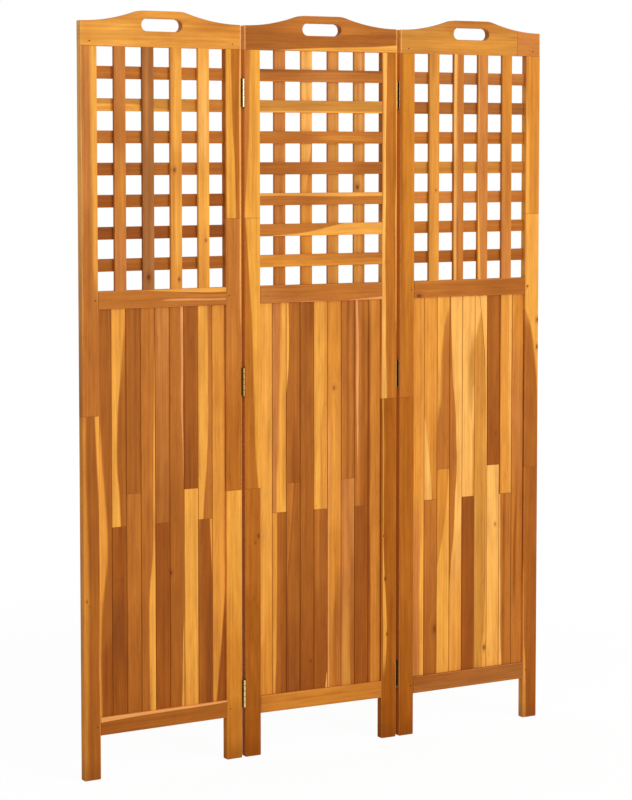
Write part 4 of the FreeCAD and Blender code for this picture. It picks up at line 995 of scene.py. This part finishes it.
def background_rays(tree):
    """1 for the rays that show what lies behind the screen: the camera's, and those in metal or glass."""
    rays = add(tree, "ShaderNodeLightPath").outputs
    seen = add(tree, "ShaderNodeMath", (rays["Is Camera Ray"], rays["Is Glossy Ray"]), operation="MAXIMUM")
    return add(tree, "ShaderNodeMath", (seen, rays["Is Transmission Ray"]), operation="MAXIMUM")


# How far the floor lies under the feet, in metres, so that it shares no face with them. And how bright the
# camera sees it, where 1 is white.
FLOOR_DROP = 0.0005
PAPER_GLOW = 1.03


class SCREEN_OT_studio(bpy.types.Operator):
    """Make the floor, the light and the camera"""

    bl_idname = "screen.studio"
    bl_label = "Studio"

    def execute(self, context):
        studio = settings().studio
        bpy.context.scene.view_settings.view_transform = "Standard"
        self.make_floor(studio.floor)
        self.make_world(studio.sky)
        lamp("key_lamp", place=(1.7, -4.8, 2.0), target=(0, 0, 1.0), width=3.0, height=2.4, power=studio.key)
        self.make_camera(studio)
        return {"FINISHED"}

    def make_floor(self, reach):
        """A round of white studio paper. The camera sees it lit from within, so that it stays white."""
        bpy.ops.mesh.primitive_circle_add(
            vertices=96, radius=reach, fill_type="NGON", location=(0, 0, -FLOOR_DROP))
        floor = bpy.context.object
        floor.name = "studio_floor"
        paper = new_material("white_studio_paper")
        tree = paper.node_tree
        matt = add(tree, "ShaderNodeBsdfPrincipled", {"Base Color": (0.8, 0.8, 0.8, 1), "Roughness": 0.9})
        glow = add(tree, "ShaderNodeEmission", ((1, 1, 1, 1), PAPER_GLOW))
        # Near the screen its shadow still shows. From 1.2 to 4 m off the paper runs out into plain white.
        place = add(tree, "ShaderNodeTexCoord").outputs["Object"]
        away = add(tree, "ShaderNodeVectorMath", (place,), operation="LENGTH").outputs["Value"]
        share = add(tree, "ShaderNodeMapRange", (away, 1.2, 4.0, 0.92, 1.0), interpolation_type="SMOOTHSTEP")
        share = add(tree, "ShaderNodeMath", (background_rays(tree), share), operation="MULTIPLY")
        shown = add(tree, "ShaderNodeMixShader", (share, matt, glow))
        add(tree, "ShaderNodeOutputMaterial", (shown,))
        floor.data.materials.append(paper)

    def make_world(self, sky):
        """Soft light from all round, and white wherever the camera looks past the screen."""
        world = bpy.data.worlds.new("white_studio")
        world.use_nodes = True
        tree = world.node_tree
        tree.nodes.clear()
        light = add(tree, "ShaderNodeBackground", ((1, 1, 1, 1), sky))
        white = add(tree, "ShaderNodeBackground", ((1, 1, 1, 1), 1.0))
        shown = add(tree, "ShaderNodeMixShader", (background_rays(tree), light, white))
        add(tree, "ShaderNodeOutputWorld", (shown,))
        bpy.context.scene.world = world

    def make_camera(self, sizes):
        data = bpy.data.cameras.new("camera")
        data.lens, data.sensor_width, data.clip_end = sizes.lens, 36.0, 60
        data.shift_x, data.shift_y = sizes.shift
        camera = bpy.data.objects.new("camera", data)
        camera.location = sizes.camera_place
        camera.rotation_euler = (math.pi / 2 - sizes.camera_tilt, 0, sizes.camera_turn)
        bpy.context.scene.collection.objects.link(camera)
        bpy.context.scene.camera = camera


OPERATORS = (SCREEN_OT_frames, SCREEN_OT_boards, SCREEN_OT_lattice, SCREEN_OT_hinges, SCREEN_OT_studio)


class SCREEN_PT_panel(bpy.types.Panel):
    """Lists the screen's makers"""

    bl_label = "Folding screen"
    bl_idname = "SCREEN_PT_panel"
    bl_space_type = "VIEW_3D"
    bl_region_type = "UI"
    bl_category = "Screen"

    def draw(self, context):
        for operator in OPERATORS:
            self.layout.operator(operator.bl_idname)


CLASSES = (ScreenTones, ScreenGrain, ScreenLattice, ScreenHardware, ScreenStudio, ScreenSettings, *OPERATORS,
           SCREEN_PT_panel)


def register():
    for item in CLASSES:
        bpy.utils.register_class(item)
    bpy.types.Scene.acacia_screen = PointerProperty(type=ScreenSettings)


def unregister():
    del bpy.types.Scene.acacia_screen
    for item in reversed(CLASSES):
        bpy.utils.unregister_class(item)


def main():
    register()
    for operator in OPERATORS:
        family, action = operator.bl_idname.split(".")
        getattr(getattr(bpy.ops, family), action)()


if __name__ == "__main__":
    main()
